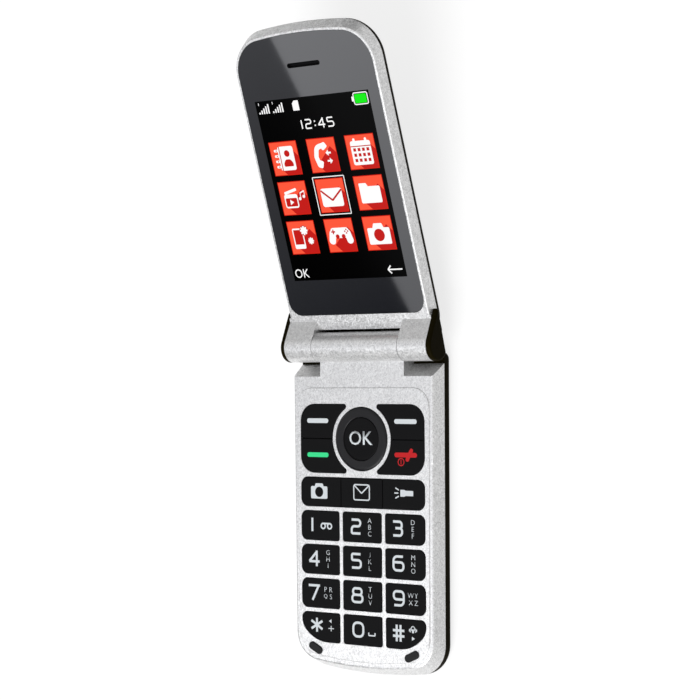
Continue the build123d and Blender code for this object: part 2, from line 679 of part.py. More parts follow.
with BuildPart() as vibration_motor:
    with BuildSketch(Plane.XY.offset(component_top - motor_height)):
        with Locations((motor_from_rib - rib_x, (board_foot + rib_y) / 2)):
            Circle(motor_radius)
    extrude(amount=motor_height)
    chamfer(vibration_motor.faces().sort_by(Axis.Z)[0].edges(), key_edge)
save(vibration_motor, "vibration_motor")

with BuildPart() as microphone:
    with BuildSketch(Plane.XY.offset(component_top - microphone_height)):
        with Locations((half_width - microphone_from_side, board_foot + microphone_from_edge)):
            Circle(microphone_radius)
            Circle(sound_hole_radius, mode=Mode.SUBTRACT)
    extrude(amount=microphone_height)
save(microphone, "microphone")

with BuildPart() as antenna:
    antenna_head = rib_y - cover_gap
    antenna_half = rib_x - contact_blade
    box_between((-antenna_half, antenna_head - antenna_length, floor_top),
                (antenna_half, antenna_head, floor_top + antenna_height))
    fillet(antenna.edges().filter_by(Axis.Z).group_by(Axis.Y)[0], antenna_corner)
    # sprung finger that reaches the board
    box_between((antenna_finger_x - antenna_finger / 2, antenna_head - antenna_finger, floor_top),
                (antenna_finger_x + antenna_finger / 2, antenna_head, component_top))
save(antenna, "antenna")

# ------------------------------------------------------------------ sockets and side key
with BuildPart() as usb_socket:
    usb_face = wall / 2 - base_side(usb_y, board_under)
    usb_low = component_top - usb_height
    usb_half = usb_width / 2
    box_between((usb_face, usb_y - usb_half, usb_low),
                (usb_face + usb_depth, usb_y + usb_half, component_top))
    fillet(usb_socket.edges().filter_by(Axis.X), usb_edge)
    # opening for the plug, with the contact tongue in it
    box_between((usb_face, usb_y - usb_half + usb_shell, usb_low + usb_shell),
                (usb_face + usb_depth - usb_shell, usb_y + usb_half - usb_shell, component_top - usb_shell),
                mode=Mode.SUBTRACT)
    box_between((usb_face + wall, usb_y - usb_half / 2, component_top - usb_shell - 2 * usb_tongue),
                (usb_face + usb_depth, usb_y + usb_half / 2, component_top - usb_shell - usb_tongue))
save(usb_socket, "usb_socket")

with BuildPart() as headset_jack:
    jack_face = wall + seat_gap - base_side(jack_y, board_under)
    box_between((jack_face, jack_y - jack_width / 2, floor_top),
                (jack_face + jack_length, jack_y + jack_width / 2, component_top))
    with BuildSketch(Plane.YZ.offset(jack_face)):
        with Locations((jack_y, rear_depth)):
            Circle(jack_radius)
    extrude(amount=jack_length - wall, mode=Mode.SUBTRACT)
save(headset_jack, "headset_jack")

volume_face = base_side(volume_y, volume_z)
volume_wall = base_side(volume_y - volume_length, volume_z + volume_height / 2 + key_lip) - wall
switch_face = board_half + switch_depth + seat_gap
with BuildPart() as volume_key:
    with BuildSketch(Plane.YZ.offset(-volume_face - volume_proud)):
        with Locations((volume_y, volume_z)):
            SlotOverall(volume_length, volume_height)
    extrude(amount=volume_proud + volume_depth)
    fillet(volume_key.faces().sort_by(Axis.X)[0].edges(), key_edge)
    # flange that holds it in the wall, and the finger that presses the switch
    with BuildSketch(Plane.YZ.offset(key_play - volume_wall)):
        with Locations((volume_y, volume_z)):
            SlotOverall(volume_length + 2 * key_lip, volume_height + key_lip)
    extrude(amount=key_lip_thickness)
    box_between((wall - volume_face, volume_y - volume_finger / 2, board_under),
                (-switch_face - switch_button - volume_travel - key_play, volume_y + volume_finger / 2,
                 board_top))
save(volume_key, "volume_key")

with BuildPart() as volume_switch:
    box_between((-switch_face, volume_y - switch_length / 2, component_top),
                (-board_half - seat_gap, volume_y + switch_length / 2, component_top + switch_height))
    box_between((-switch_face - switch_button, volume_y - volume_finger / 3, board_under),
                (-switch_face, volume_y + volume_finger / 3, board_top))
save(volume_switch, "volume_switch")

# ================================================================== KEYS
key_openings = {
    "soft_left_key": left_block, "call_key": left_block,
    "soft_right_key": right_block, "end_key": right_block,
    "camera_key": strip_opening, "message_key": strip_opening, "torch_key": strip_opening,
}
number_names = {-1: ["key_1", "key_4", "key_7", "key_star"], 0: ["key_2", "key_5", "key_8", "key_0"],
                1: ["key_3", "key_6", "key_9", "key_hash"]}
for column, names in number_names.items():
    for row, name in enumerate(names):
        key_openings[name] = number_opening(column, row)

half_split = split_gap / 2
strip_half = strip_middle_width / 2
beyond = case_width
key_cells = {
    "soft_left_key": box_face(-beyond, 0, nav_y + half_split, beyond),
    "call_key": box_face(-beyond, 0, -beyond, nav_y - half_split),
    "soft_right_key": box_face(0, beyond, nav_y + half_split, beyond),
    "end_key": box_face(0, beyond, -beyond, nav_y - half_split),
    "camera_key": box_face(-beyond, -strip_half - half_split, -beyond, beyond),
    "message_key": box_face(-strip_half + half_split, strip_half - half_split, -beyond, beyond),
    "torch_key": box_face(strip_half + half_split, beyond, -beyond, beyond),
}


def key_face(name, grow):
    """Plan of a key: its opening grown or shrunk, within its share of that opening."""
    with BuildSketch() as plan:
        add(key_openings[name])
        offset(amount=grow)
        if name in key_cells:
            add(key_cells[name], mode=Mode.INTERSECT)
    return plan.sketch


key_centres = []
for name in key_openings:
    with BuildPart() as key:
        # flange under the face, then the cap through the opening
        with BuildSketch(Plane.XY.offset(key_bottom)):
            add(key_face(name, key_lip))
        extrude(amount=key_lip_thickness)
        with BuildSketch(Plane.XY.offset(key_bottom)) as cap:
            add(key_face(name, -key_play))
        extrude(amount=key_top - key_bottom)
        fillet(key.faces().sort_by(Axis.Z)[-1].edges(), key_edge)
    key_centres.append((cap.sketch.center().X, cap.sketch.center().Y))
    save(key, name)

with BuildPart() as nav_ring:
    with BuildSketch(Plane.XZ.offset(-nav_y)):
        ring_out, ring_top = nav_radius - key_play, base_thickness + nav_proud
        relief_out, relief_top = ok_radius + nav_relief, key_bottom + nav_relief_height
        with BuildLine():
            Polyline((relief_out, key_bottom), (ring_out, key_bottom), (ring_out, ring_top),
                     (ok_radius, ring_top), (ok_radius, relief_top), (relief_out, relief_top), close=True)
        make_face()
    revolve(axis=Axis((0, nav_y, 0), (0, 0, 1)))
    fillet(nav_ring.faces().sort_by(Axis.Z)[-1].edges().sort_by(SortBy.LENGTH)[-1], nav_round)
    fillet(nav_ring.faces().sort_by(Axis.Z)[-1].edges().sort_by(SortBy.LENGTH)[0], key_edge)
    # two pins on its rocking axis hold it under the face
    for inner, outer in ((wall - ring_out, -nav_radius - key_lip), (ring_out - wall, nav_radius + key_lip)):
        with BuildSketch(Plane.YZ.offset(inner)):
            with Locations((nav_y, key_bottom + nav_pin_radius)):
                Circle(nav_pin_radius)
        extrude(amount=outer - inner)
save(nav_ring, "nav_ring")

with BuildPart() as ok_key:
    with BuildSketch(Plane.XZ.offset(-nav_y)):
        cap_out = ok_radius - key_play
        flange_out = ok_radius + key_edge
        with BuildLine():
            Polyline((0, key_bottom), (flange_out, key_bottom), (flange_out, lip_top),
                     (cap_out, lip_top), (cap_out, key_top), (0, key_top), close=True)
        make_face()
    revolve(axis=Axis((0, nav_y, 0), (0, 0, 1)))
    fillet(ok_key.faces().sort_by(Axis.Z)[-1].edges(), key_edge)
    # shallow dish for the thumb
    dish_radius = (cap_out ** 2 + ok_dish ** 2) / (2 * ok_dish) * ok_dish_width ** 2
    with Locations((0, nav_y, key_top - ok_dish + dish_radius)):
        Sphere(dish_radius, mode=Mode.SUBTRACT)
save(ok_key, "ok_key")

nav_domes = [(0, nav_y), (nav_dome_radius, nav_y), (-nav_dome_radius, nav_y),
             (0, nav_y + nav_dome_radius), (0, nav_y - nav_dome_radius)]
with BuildPart() as dome_sheet:
    with BuildSketch(Plane.XY.offset(board_top + seat_gap)):
        add(box_face(-board_half + mat_margin, board_half - mat_margin, last_bottom + mat_margin, block_top))
    extrude(amount=dome_film)
    # a snap dome under each key, and four under the ring
    with BuildSketch(Plane.XY.offset(board_top + seat_gap + dome_film)):
        with Locations(*key_centres, *nav_domes):
            Circle(dome_radius)
    extrude(amount=dome_height)
save(dome_sheet, "dome_sheet")

with BuildPart() as keypad_mat:
    with BuildSketch(Plane.XY.offset(mat_top - mat_thickness)):
        add(rounded_polygon(
            [(-mat_half, last_bottom - mat_margin), (mat_half, last_bottom - mat_margin),
             (mat_half, block_top + mat_margin), (-mat_half, block_top + mat_margin)],
            [mat_corner, mat_corner, small_corner, small_corner]))
    extrude(amount=mat_thickness)
save(keypad_mat, "keypad_mat")

# ------------------------------------------------------------------ buffers and screws of the base
with BuildPart() as base_bumpers:
    for x, y, tilt in pad_places:
        with BuildSketch(Plane.XY.offset(base_thickness - pad_seat + seat_gap)):
            with Locations((x, y)):
                SlotOverall(pad_length, pad_width, rotation=tilt)
        extrude(amount=pad_seat - seat_gap + pad_proud)
    fillet(base_bumpers.faces().group_by(Axis.Z)[-1].edges(), pad_proud / 2)
save(base_bumpers, "base_bumpers")


def screw_set(plane, places, head_radius, head_height, radius, length):
    """Pan-head screws with a cross recess, their heads on the plane and their points along it."""
    with BuildPart() as screws:
        with BuildSketch(plane):
            with Locations(*places):
                Circle(head_radius)
        extrude(amount=head_height)
        with BuildSketch(plane.offset(head_height)):
            with Locations(*places):
                Circle(radius)
        extrude(amount=length - head_height)
        with BuildSketch(plane):
            with Locations(*places):
                Rectangle(head_radius, head_radius / 4)
                Rectangle(head_radius / 4, head_radius)
        extrude(amount=head_height / 2, mode=Mode.SUBTRACT)
    return screws


case_screws = screw_set(Plane.XY.offset(2 * key_play - seat_gap), case_screw_places,
                        screw_head_radius, screw_head_height, screw_radius, screw_length)
save(case_screws, "case_screws")

# ================================================================== HINGE
hinge_start = barrel_half - 2 * key_play          # outer end of the cartridge, within the barrel


def hinge_plane(x):
    """Plane across the hinge axis, seen from +X, turned with the lid."""
    return lid_side.offset(x)


with BuildPart() as hinge_cartridge:
    with BuildSketch(hinge_plane(hinge_start - cartridge_length)):
        Circle(hinge_bore - cartridge_gap)
        Circle(cam_shaft_radius + hinge_play, mode=Mode.SUBTRACT)
    extrude(amount=cartridge_length)
    chamfer(hinge_cartridge.faces().sort_by(Axis.X)[0].edges().sort_by(SortBy.LENGTH)[-1], key_edge)
save(hinge_cartridge, "hinge_cartridge")

head_start = knuckle_inner + key_edge
with BuildPart() as hinge_cam_shaft:
    with BuildSketch(hinge_plane(hinge_start - cartridge_length + small_corner)):
        Circle(cam_shaft_radius)
    extrude(amount=head_start - hinge_start + cartridge_length - small_corner)
    with BuildSketch(hinge_plane(head_start)):
        RectangleRounded(cam_head_width, cam_head_width, key_edge)
    extrude(amount=cam_head_length)
save(hinge_cam_shaft, "hinge_cam_shaft")

pin_end = barrel_half - pin_overlap               # inner end of the pin, in the barrel
flex_top = -hinge_bore - seat_gap                 # the display's lead leaves the pin through its wall
flex_low = flex_top - flex_thickness
flex_out, flex_in = -pin_end - pin_length + flex_width, -knuckle_inner - seat_gap
lead_left = (flex_out + flex_in - flex_width) / 2
with BuildPart() as hinge_pin:
    with BuildSketch(hinge_plane(-pin_end - pin_length)):
        Circle(hinge_bore - hinge_play)
        Circle(hinge_bore - hinge_play - pin_wall, mode=Mode.SUBTRACT)
    extrude(amount=pin_length)
    # slot for the lead
    with BuildSketch(hinge_plane(lead_left - key_play)):
        with Locations((0, -hinge_bore)):
            Rectangle(4 * flex_thickness, 3 * pin_wall)
    extrude(amount=flex_width + 2 * key_play, mode=Mode.SUBTRACT)
save(hinge_pin, "hinge_pin")

with BuildPart() as display_flex:
    # the lead is wound round the hinge axis inside the pin
    with BuildSketch(hinge_plane(lead_left)):
        Circle(flex_roll_radius)
        Circle(flex_roll_radius - 2 * flex_thickness, mode=Mode.SUBTRACT)
    extrude(amount=flex_roll_length)
    # down through the pin's slot, then up the lid to the display
    with BuildSketch(hinge_plane(lead_left)):
        add(box_face(-flex_thickness, flex_thickness, flex_low, -flex_roll_radius + flex_thickness))
        add(box_face(-flex_thickness, lcd_foot - key_play, flex_low, flex_top))
    extrude(amount=flex_width)
save(display_flex, "display_flex")

# ================================================================== LID
lid_origin = Vector(0, hinge_y, hinge_z)


def up_lid(shape):
    """Distance of a shape's middle from the hinge axis, along the lid."""
    return (shape.center() - lid_origin).dot(Vector(*lid_up))


def touch_point(point, side):
    """Where a line from a point of the hinge section touches the barrel's circle."""
    turn = atan2(point[1], point[0]) + side * acos(barrel_radius / hypot(*point))
    return (barrel_radius * cos(turn), barrel_radius * sin(turn))


def lens_outline(grow):
    """Plan of the window, grown or shrunk."""
    return case_outline(lens_half + grow, lens_from_axis - grow, lens_end + grow, lens_corner,
                        lens_lower_corner)


crease = (crease_from_axis, lid_face)
with BuildSketch() as knuckle_section:
    Circle(barrel_radius)
    with BuildLine():
        Polyline((0, 0), touch_point(crease, 1), crease, (crease_from_axis + wall, lid_face),
                 (crease_from_axis + wall, lid_parting), (0, lid_parting), close=True)
    make_face()

# an end cap: round the hinge axis in front, flat behind
with BuildSketch() as cap_section:
    Circle(barrel_radius)
    with BuildLine():
        Polyline(touch_point(cap_crease, 1), cap_crease, cap_tip, (0, cap_tip[1]), (0, 0), close=True)
    make_face()
    with BuildLine():
        Polyline(cap_tip, cap_heel, (cap_heel[0], lid_back), (cap_tip[0], lid_back), close=True)
    make_face(mode=Mode.SUBTRACT)
    for point, radius in ((cap_crease, cap_corner), (cap_tip, cap_tip_corner)):
        fillet(cap_section.vertices().sort_by_distance((*point, 0))[0], radius)
cap_foot = box_face(cap_root_foot, cap_crease[0], lid_parting - cap_root_low, lid_parting + cap_root_top)

# ------------------------------------------------------------------ front frame
frame_corner = lens_corner + lens_rim
share_at_ledge = (ledge_under - lid_parting) / lid_depth
with BuildPart() as lid_front_frame:
    with BuildSketch(lid_plane.offset(lid_parting)):
        add(case_outline(lid_half, lid_foot, lid_reach, frame_corner + lid_side_slope))
    with BuildSketch(lid_plane.offset(lid_face)):
        add(case_outline(lid_half - lid_side_slope, lid_foot, lid_reach - lid_end_slope, frame_corner))
    loft()
    face = lid_front_frame.faces().sort_by(Axis(lid_origin, lid_out))[-1]
    fillet(face.edges().filter_by(lambda e: up_lid(e) > lid_foot + seat_gap), rim_round)
    # hinge knuckles
    for left, right in ((seat_gap - cap_start, -knuckle_inner), (knuckle_inner, cap_start - seat_gap)):
        with BuildSketch(lid_side.offset(left)):
            add(knuckle_section.sketch)
        extrude(amount=right - left)
    # pocket of the window, opening for the display in its floor, hollow below
    with BuildSketch(lid_plane.offset(lens_floor)):
        add(lens_outline(0))
    extrude(amount=lens_thickness + wall, mode=Mode.SUBTRACT)
    with BuildSketch(lid_plane.offset(ledge_under)):
        add(box_face(-lcd_half - key_play, lcd_half + key_play, lcd_foot - key_play, lcd_end + key_play))
        with Locations((0, slot_at)):
            SlotOverall(mesh_length + 2 * key_play, mesh_width + 2 * key_play)
    extrude(amount=ledge_thickness, mode=Mode.SUBTRACT)
    with BuildSketch(lid_plane.offset(lid_parting)):
        add(case_outline(lid_half - wall, lid_hollow_foot + wall,
                         lid_reach - wall - share_at_ledge * lid_end_slope, frame_corner - wall))
    extrude(amount=ledge_under - lid_parting, mode=Mode.SUBTRACT)
    # bosses and sunk holes of the screws
    with BuildSketch(lid_plane.offset(ledge_under - lid_boss_length)):
        with Locations(*lid_screw_places):
            Circle(lid_boss_radius)
    extrude(amount=lid_boss_length)
    with BuildSketch(lid_plane.offset(lid_parting)):
        with Locations(*lid_screw_places):
            Circle(lid_screw_radius + 2 * seat_gap)
    extrude(amount=lid_depth, mode=Mode.SUBTRACT)
    with BuildSketch(lid_plane.offset(lens_floor - lid_screw_head_height - seat_gap)):
        with Locations(*lid_screw_places):
            Circle(lid_screw_head_radius + key_play)
    extrude(amount=wall, mode=Mode.SUBTRACT)
    # bore of the pin, socket of the cam shaft's head
    with BuildSketch(hinge_plane(-pin_end - pin_length - seat_gap)):
        Circle(hinge_bore)
    extrude(amount=pin_length, mode=Mode.SUBTRACT)
    with BuildSketch(hinge_plane(barrel_half)):
        RectangleRounded(cam_head_width + 2 * seat_gap, cam_head_width + 2 * seat_gap, key_edge)
    extrude(amount=head_start - barrel_half + cam_head_length + seat_gap, mode=Mode.SUBTRACT)
    # channel of the display's lead
    with BuildSketch(hinge_plane(lead_left - key_play)):
        add(box_face(-2 * flex_thickness, lid_hollow_foot + 2 * wall, flex_low - key_play,
                     flex_top + key_play))
    extrude(amount=flex_width + 2 * key_play, mode=Mode.SUBTRACT)
    # room for the end caps and their feet
    for side in (-1, 1):
        with BuildSketch(lid_side.offset(side * (cap_start - seat_gap))):
            add(cap_section.sketch)
            offset(amount=seat_gap)
        extrude(amount=side * wall, mode=Mode.SUBTRACT)
        with BuildSketch(lid_side.offset(side * (half_width - cap_root - seat_gap))):
            add(cap_foot)
            offset(amount=seat_gap)
        extrude(amount=side * (cap_root + wall), mode=Mode.SUBTRACT)
save(lid_front_frame, "lid_front_frame")

# ------------------------------------------------------------------ rear cover with the end caps
with BuildPart() as lid_hollow:
    with BuildSketch(lid_plane.offset(rear_inner)):
        add(case_outline(lid_half - rear_wall, lid_hollow_foot, lid_reach - rear_wall, frame_corner))
    extrude(amount=lid_rear_depth)
    deep = lid_hollow.faces().sort_by(Axis(lid_origin, lid_out))[0].edges()
    fillet(deep.filter_by(lambda e: up_lid(e) > lid_hollow_foot + seat_gap), lid_rear_round - rear_wall)

screw_foot = lens_floor - seat_gap - lid_screw_length
camera_place, torch_place = (0, camera_u), (torch_x, camera_u)
with BuildPart() as lid_rear_cover:
    with BuildSketch(lid_plane.offset(lid_back)):
        add(case_outline(lid_half, 0, lid_reach, frame_corner + lid_side_slope, lid_foot_corner))
    extrude(amount=lid_rear_depth)
    back = lid_rear_cover.faces().sort_by(Axis(lid_origin, lid_out))[0]
    fillet(back.edges().filter_by(lambda e: up_lid(e) > seat_gap), lid_rear_round)
    # its end leans behind the knuckles, and stops short of the barrel between them
    with BuildSketch(lid_side.offset(-case_width)):
        add(rounded_polygon([(-wall, lid_parting), (0, lid_parting), (lid_slant, lid_back),
                             (lid_slant, lid_back - wall), (-wall, lid_back - wall)], []))
    extrude(amount=2 * case_width, mode=Mode.SUBTRACT)
    with BuildSketch(lid_plane.offset(lid_back)):
        add(box_face(-knuckle_inner, knuckle_inner, -wall, lid_rear_foot))
    extrude(amount=lid_rear_depth, mode=Mode.SUBTRACT)
    add(lid_hollow.part, mode=Mode.SUBTRACT)
    # bosses for the screws, up to those of the front frame
    with BuildSketch(lid_plane.offset(rear_inner)):
        with Locations(*lid_screw_places):
            Circle(lid_boss_radius)
    extrude(amount=ledge_under - lid_boss_length - seat_gap - rear_inner)
    with BuildSketch(lid_plane.offset(screw_foot - key_play)):
        with Locations(*lid_screw_places):
            Circle(lid_screw_radius + seat_gap)
    extrude(amount=lid_depth, mode=Mode.SUBTRACT)
    # holes of the camera and the torch
    with BuildSketch(lid_plane.offset(lid_back)):
        with Locations(camera_place):
            Circle(camera_window_radius + key_play)
        with Locations(torch_place):
            Circle(torch_radius + key_play)
    extrude(amount=rear_wall, mode=Mode.SUBTRACT)
    # end caps over the knuckles
    for side in (-1, 1):
        with BuildSketch(lid_side.offset(side * cap_start)):
            add(cap_section.sketch)
        extrude(amount=side * (cap_inset + cap_thickness))
        fillet(lid_rear_cover.faces().sort_by(Axis.X)[0 if side < 0 else -1].edges(), cap_round)
        with BuildSketch(lid_side.offset(side * (half_width - cap_root))):
            add(cap_foot)
        extrude(amount=side * cap_root)
save(lid_rear_cover, "lid_rear_cover")

# ------------------------------------------------------------------ window and display
with BuildPart() as lid_lens:
    with BuildSketch(lid_plane.offset(lens_top - lens_thickness)):
        add(lens_outline(-lens_play))
        with Locations((0, slot_at)):
            SlotOverall(slot_length, slot_width, mode=Mode.SUBTRACT)
    extrude(amount=lens_thickness)
    outer = lid_lens.faces().sort_by(Axis(lid_origin, lid_out))[-1].outer_wire().edges()
    fillet(outer, lens_recess)
save(lid_lens, "lid_lens")

with BuildPart() as lcd_module:
    with BuildSketch(lid_plane.offset(lcd_back)):
        add(box_face(-lcd_half, lcd_half, lcd_foot, lcd_end))
        fillet(vertices(), small_corner)
    extrude(amount=lcd_thickness)
save(lcd_module, "lcd_module")

with BuildPart() as display_bracket:
    bracket_top = lcd_back - bracket_gap
    with BuildSketch(lid_plane.offset(bracket_top - bracket_thickness)):
        add(box_face(-lcd_half - bracket_lip, lcd_half + bracket_lip, lcd_foot, lcd_end))
        with Locations((0, (lcd_foot + lcd_end) / 2)):
            with GridLocations(lcd_half, lcd_half, 2, 2):
                RectangleRounded(lcd_half / 2, lcd_half / 2, small_corner, mode=Mode.SUBTRACT)
    extrude(amount=bracket_thickness)
    # lips beside the display
    with BuildSketch(lid_plane.offset(bracket_top - bracket_thickness)):
        for left in (-lcd_half - bracket_lip, lcd_half + key_play):
            add(box_face(left, left + bracket_lip - key_play, lcd_foot, lcd_end))
    extrude(amount=ledge_under - key_play - bracket_top + bracket_thickness)
save(display_bracket, "display_bracket")

# ------------------------------------------------------------------ electronics of the lid
with BuildPart() as earpiece_speaker:
    with BuildSketch(lid_plane.offset(ledge_under - seat_gap - earpiece_height)):
        with Locations((0, slot_at)):
            RectangleRounded(earpiece_length, earpiece_width, small_corner)
    extrude(amount=earpiece_height)
save(earpiece_speaker, "earpiece_speaker")

with BuildPart() as earpiece_mesh:
    with BuildSketch(lid_plane.offset(lens_floor - mesh_thickness)):
        with Locations((0, slot_at)):
            SlotOverall(mesh_length, mesh_width)
            with GridLocations(mesh_pitch, mesh_pitch, mesh_columns, mesh_rows):
                Circle(mesh_hole, mode=Mode.SUBTRACT)
    extrude(amount=mesh_thickness)
save(earpiece_mesh, "earpiece_mesh")

board_face = lid_face - lid_board_depth
with BuildPart() as lid_board:
    with BuildSketch(lid_plane.offset(board_face - lid_board_thickness)):
        with Locations((torch_x / 4, camera_u)):
            RectangleRounded(lid_board_width, lid_board_length, small_corner)
    extrude(amount=lid_board_thickness)
save(lid_board, "lid_board")

lens_barrel = camera_size / 2 - wall
behind_board = board_face - lid_board_thickness - seat_gap
with BuildPart() as camera_module:
    with BuildSketch(lid_plane.offset(rear_inner + 2 * key_play)):
        with Locations(camera_place):
            RectangleRounded(camera_size, camera_size, small_corner / 2)
    extrude(amount=behind_board - rear_inner - 2 * key_play)
    with BuildSketch(lid_plane.offset(rear_inner + seat_gap)):
        with Locations(camera_place):
            Circle(lens_barrel)
            Circle(lens_barrel - key_lip, mode=Mode.SUBTRACT)
    extrude(amount=2 * key_play)
save(camera_module, "camera_module")

with BuildPart() as camera_window:
    with BuildSketch(lid_plane.offset(lid_back + seat_gap)):
        with Locations(camera_place):
            Circle(camera_window_radius)
    extrude(amount=camera_window_thickness)
    chamfer(camera_window.faces().sort_by(Axis(lid_origin, lid_out))[0].edges(), key_play)
save(camera_window, "camera_window")

with BuildPart() as torch_led:
    with BuildSketch(lid_plane.offset(lid_back + key_play)):
        with Locations(torch_place):
            Circle(torch_radius)
    extrude(amount=behind_board - lid_back - key_play)
    fillet(torch_led.faces().sort_by(Axis(lid_origin, lid_out))[0].edges(), key_edge)
save(torch_led, "torch_led")

with BuildPart() as lid_magnet:
    with BuildSketch(lid_plane.offset(ledge_under - seat_gap - magnet_height)):
        with Locations((magnet_x, magnet_u)):
            Rectangle(magnet_length, magnet_width)
    extrude(amount=magnet_height)
save(lid_magnet, "lid_magnet")

screw_plane = Plane(origin=lid_plane.offset(lens_floor - seat_gap).origin, x_dir=(1, 0, 0),
                    z_dir=tuple(-part for part in lid_out))
lid_screws = screw_set(screw_plane, [(x, -u) for x, u in lid_screw_places], lid_screw_head_radius,
                       lid_screw_head_height, lid_screw_radius, lid_screw_length)
save(lid_screws, "lid_screws")
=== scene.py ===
"""Looks of an open clamshell mobile phone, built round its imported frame.

The classes hold their sizes in millimetres, and MM turns them into the metres of the frame.
"""

import logging
import math
from collections.abc import Callable, Sequence
from dataclasses import dataclass, field
from enum import Enum

import bmesh
import bpy
from mathutils import Matrix, Vector


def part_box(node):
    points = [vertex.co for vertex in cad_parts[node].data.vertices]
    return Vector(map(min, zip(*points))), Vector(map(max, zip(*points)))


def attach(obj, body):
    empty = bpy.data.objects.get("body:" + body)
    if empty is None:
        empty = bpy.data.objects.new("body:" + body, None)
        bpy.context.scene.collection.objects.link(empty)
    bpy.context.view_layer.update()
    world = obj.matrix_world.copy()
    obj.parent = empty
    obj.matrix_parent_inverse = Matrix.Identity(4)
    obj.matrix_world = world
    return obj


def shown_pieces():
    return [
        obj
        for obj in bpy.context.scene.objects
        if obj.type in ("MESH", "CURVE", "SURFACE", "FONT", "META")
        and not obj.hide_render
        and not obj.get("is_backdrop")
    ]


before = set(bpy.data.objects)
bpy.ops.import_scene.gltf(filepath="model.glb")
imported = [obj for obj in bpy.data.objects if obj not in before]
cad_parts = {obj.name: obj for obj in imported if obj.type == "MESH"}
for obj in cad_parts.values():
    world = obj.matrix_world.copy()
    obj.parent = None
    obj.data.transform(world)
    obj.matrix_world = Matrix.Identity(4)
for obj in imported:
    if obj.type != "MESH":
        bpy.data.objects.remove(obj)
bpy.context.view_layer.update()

MM = 0.001
FIGURE_HEIGHT = 5.0    # millimetres, at which the widths and bends of the keys' figures are given
# A Mix node's sockets for colours. Those of its other kinds bear the same names.
MIX_FIRST, MIX_SECOND, MIX_RESULT = 6, 7, 2
Point = tuple[float, float]
Triple = tuple[float, float, float]
Place = Callable[[float, float], Point]
log = logging.getLogger("phone")


# ---------------- nodes and colours
def linear(code: str) -> tuple[float, float, float, float]:
    """Turn an sRGB colour such as "#D7DCDE" into linear RGBA."""
    shares = [int(code[place:place + 2], 16) / 255 for place in (1, 3, 5)]
    return (*(c / 12.92 if c <= 0.04045 else ((c + 0.055) / 1.055) ** 2.4 for c in shares), 1.0)


def per_metre(size: float) -> float:
    """Texture scale at which a pattern repeats about every so many millimetres."""
    return 1 / (size * MM)


def add_node(tree: bpy.types.NodeTree, kind: str, values: dict | None = None,
             links: dict | None = None, **settings) -> bpy.types.Node:
    """Add a node with its settings and links.

    Args:
        tree: node tree that the node joins.
        kind: type name, such as "ShaderNodeTexNoise".
        values: constants by input name or number.
        links: output sockets of other nodes, by the input that they feed.
        settings: the node's own options.

    Returns:
        The new node.
    """
    node = tree.nodes.new(kind)
    for option, choice in settings.items():
        setattr(node, option, choice)
    for socket, value in (values or {}).items():
        node.inputs[socket].default_value = value
    for socket, source in (links or {}).items():
        tree.links.new(source, node.inputs[socket])
    return node


# ---------------- scene helpers
def empty_tree(owner: bpy.types.Material | bpy.types.World) -> bpy.types.NodeTree:
    """Return the node tree of a material or a world, with nothing in it."""
    owner.use_nodes = True
    owner.node_tree.nodes.clear()
    return owner.node_tree


def as_mesh(name: str, shape: bmesh.types.BMesh) -> bpy.types.Mesh:
    """Turn a shape into a mesh of that name, and free the shape."""
    mesh = bpy.data.meshes.new(name)
    shape.to_mesh(mesh)
    shape.free()
    return mesh


def add_object(name: str, data: bpy.types.ID) -> bpy.types.Object:
    """Put a mesh, text, lamp or camera into the scene under that name."""
    made = bpy.data.objects.new(name, data)
    bpy.context.scene.collection.objects.link(made)
    return made


def upright(rows: tuple[Vector, Vector, Vector], place: Vector) -> Matrix:
    """Return the matrix that turns the axes into three directions, and the origin into a place."""
    return Matrix.Translation(place) @ Matrix(rows).transposed().to_4x4()


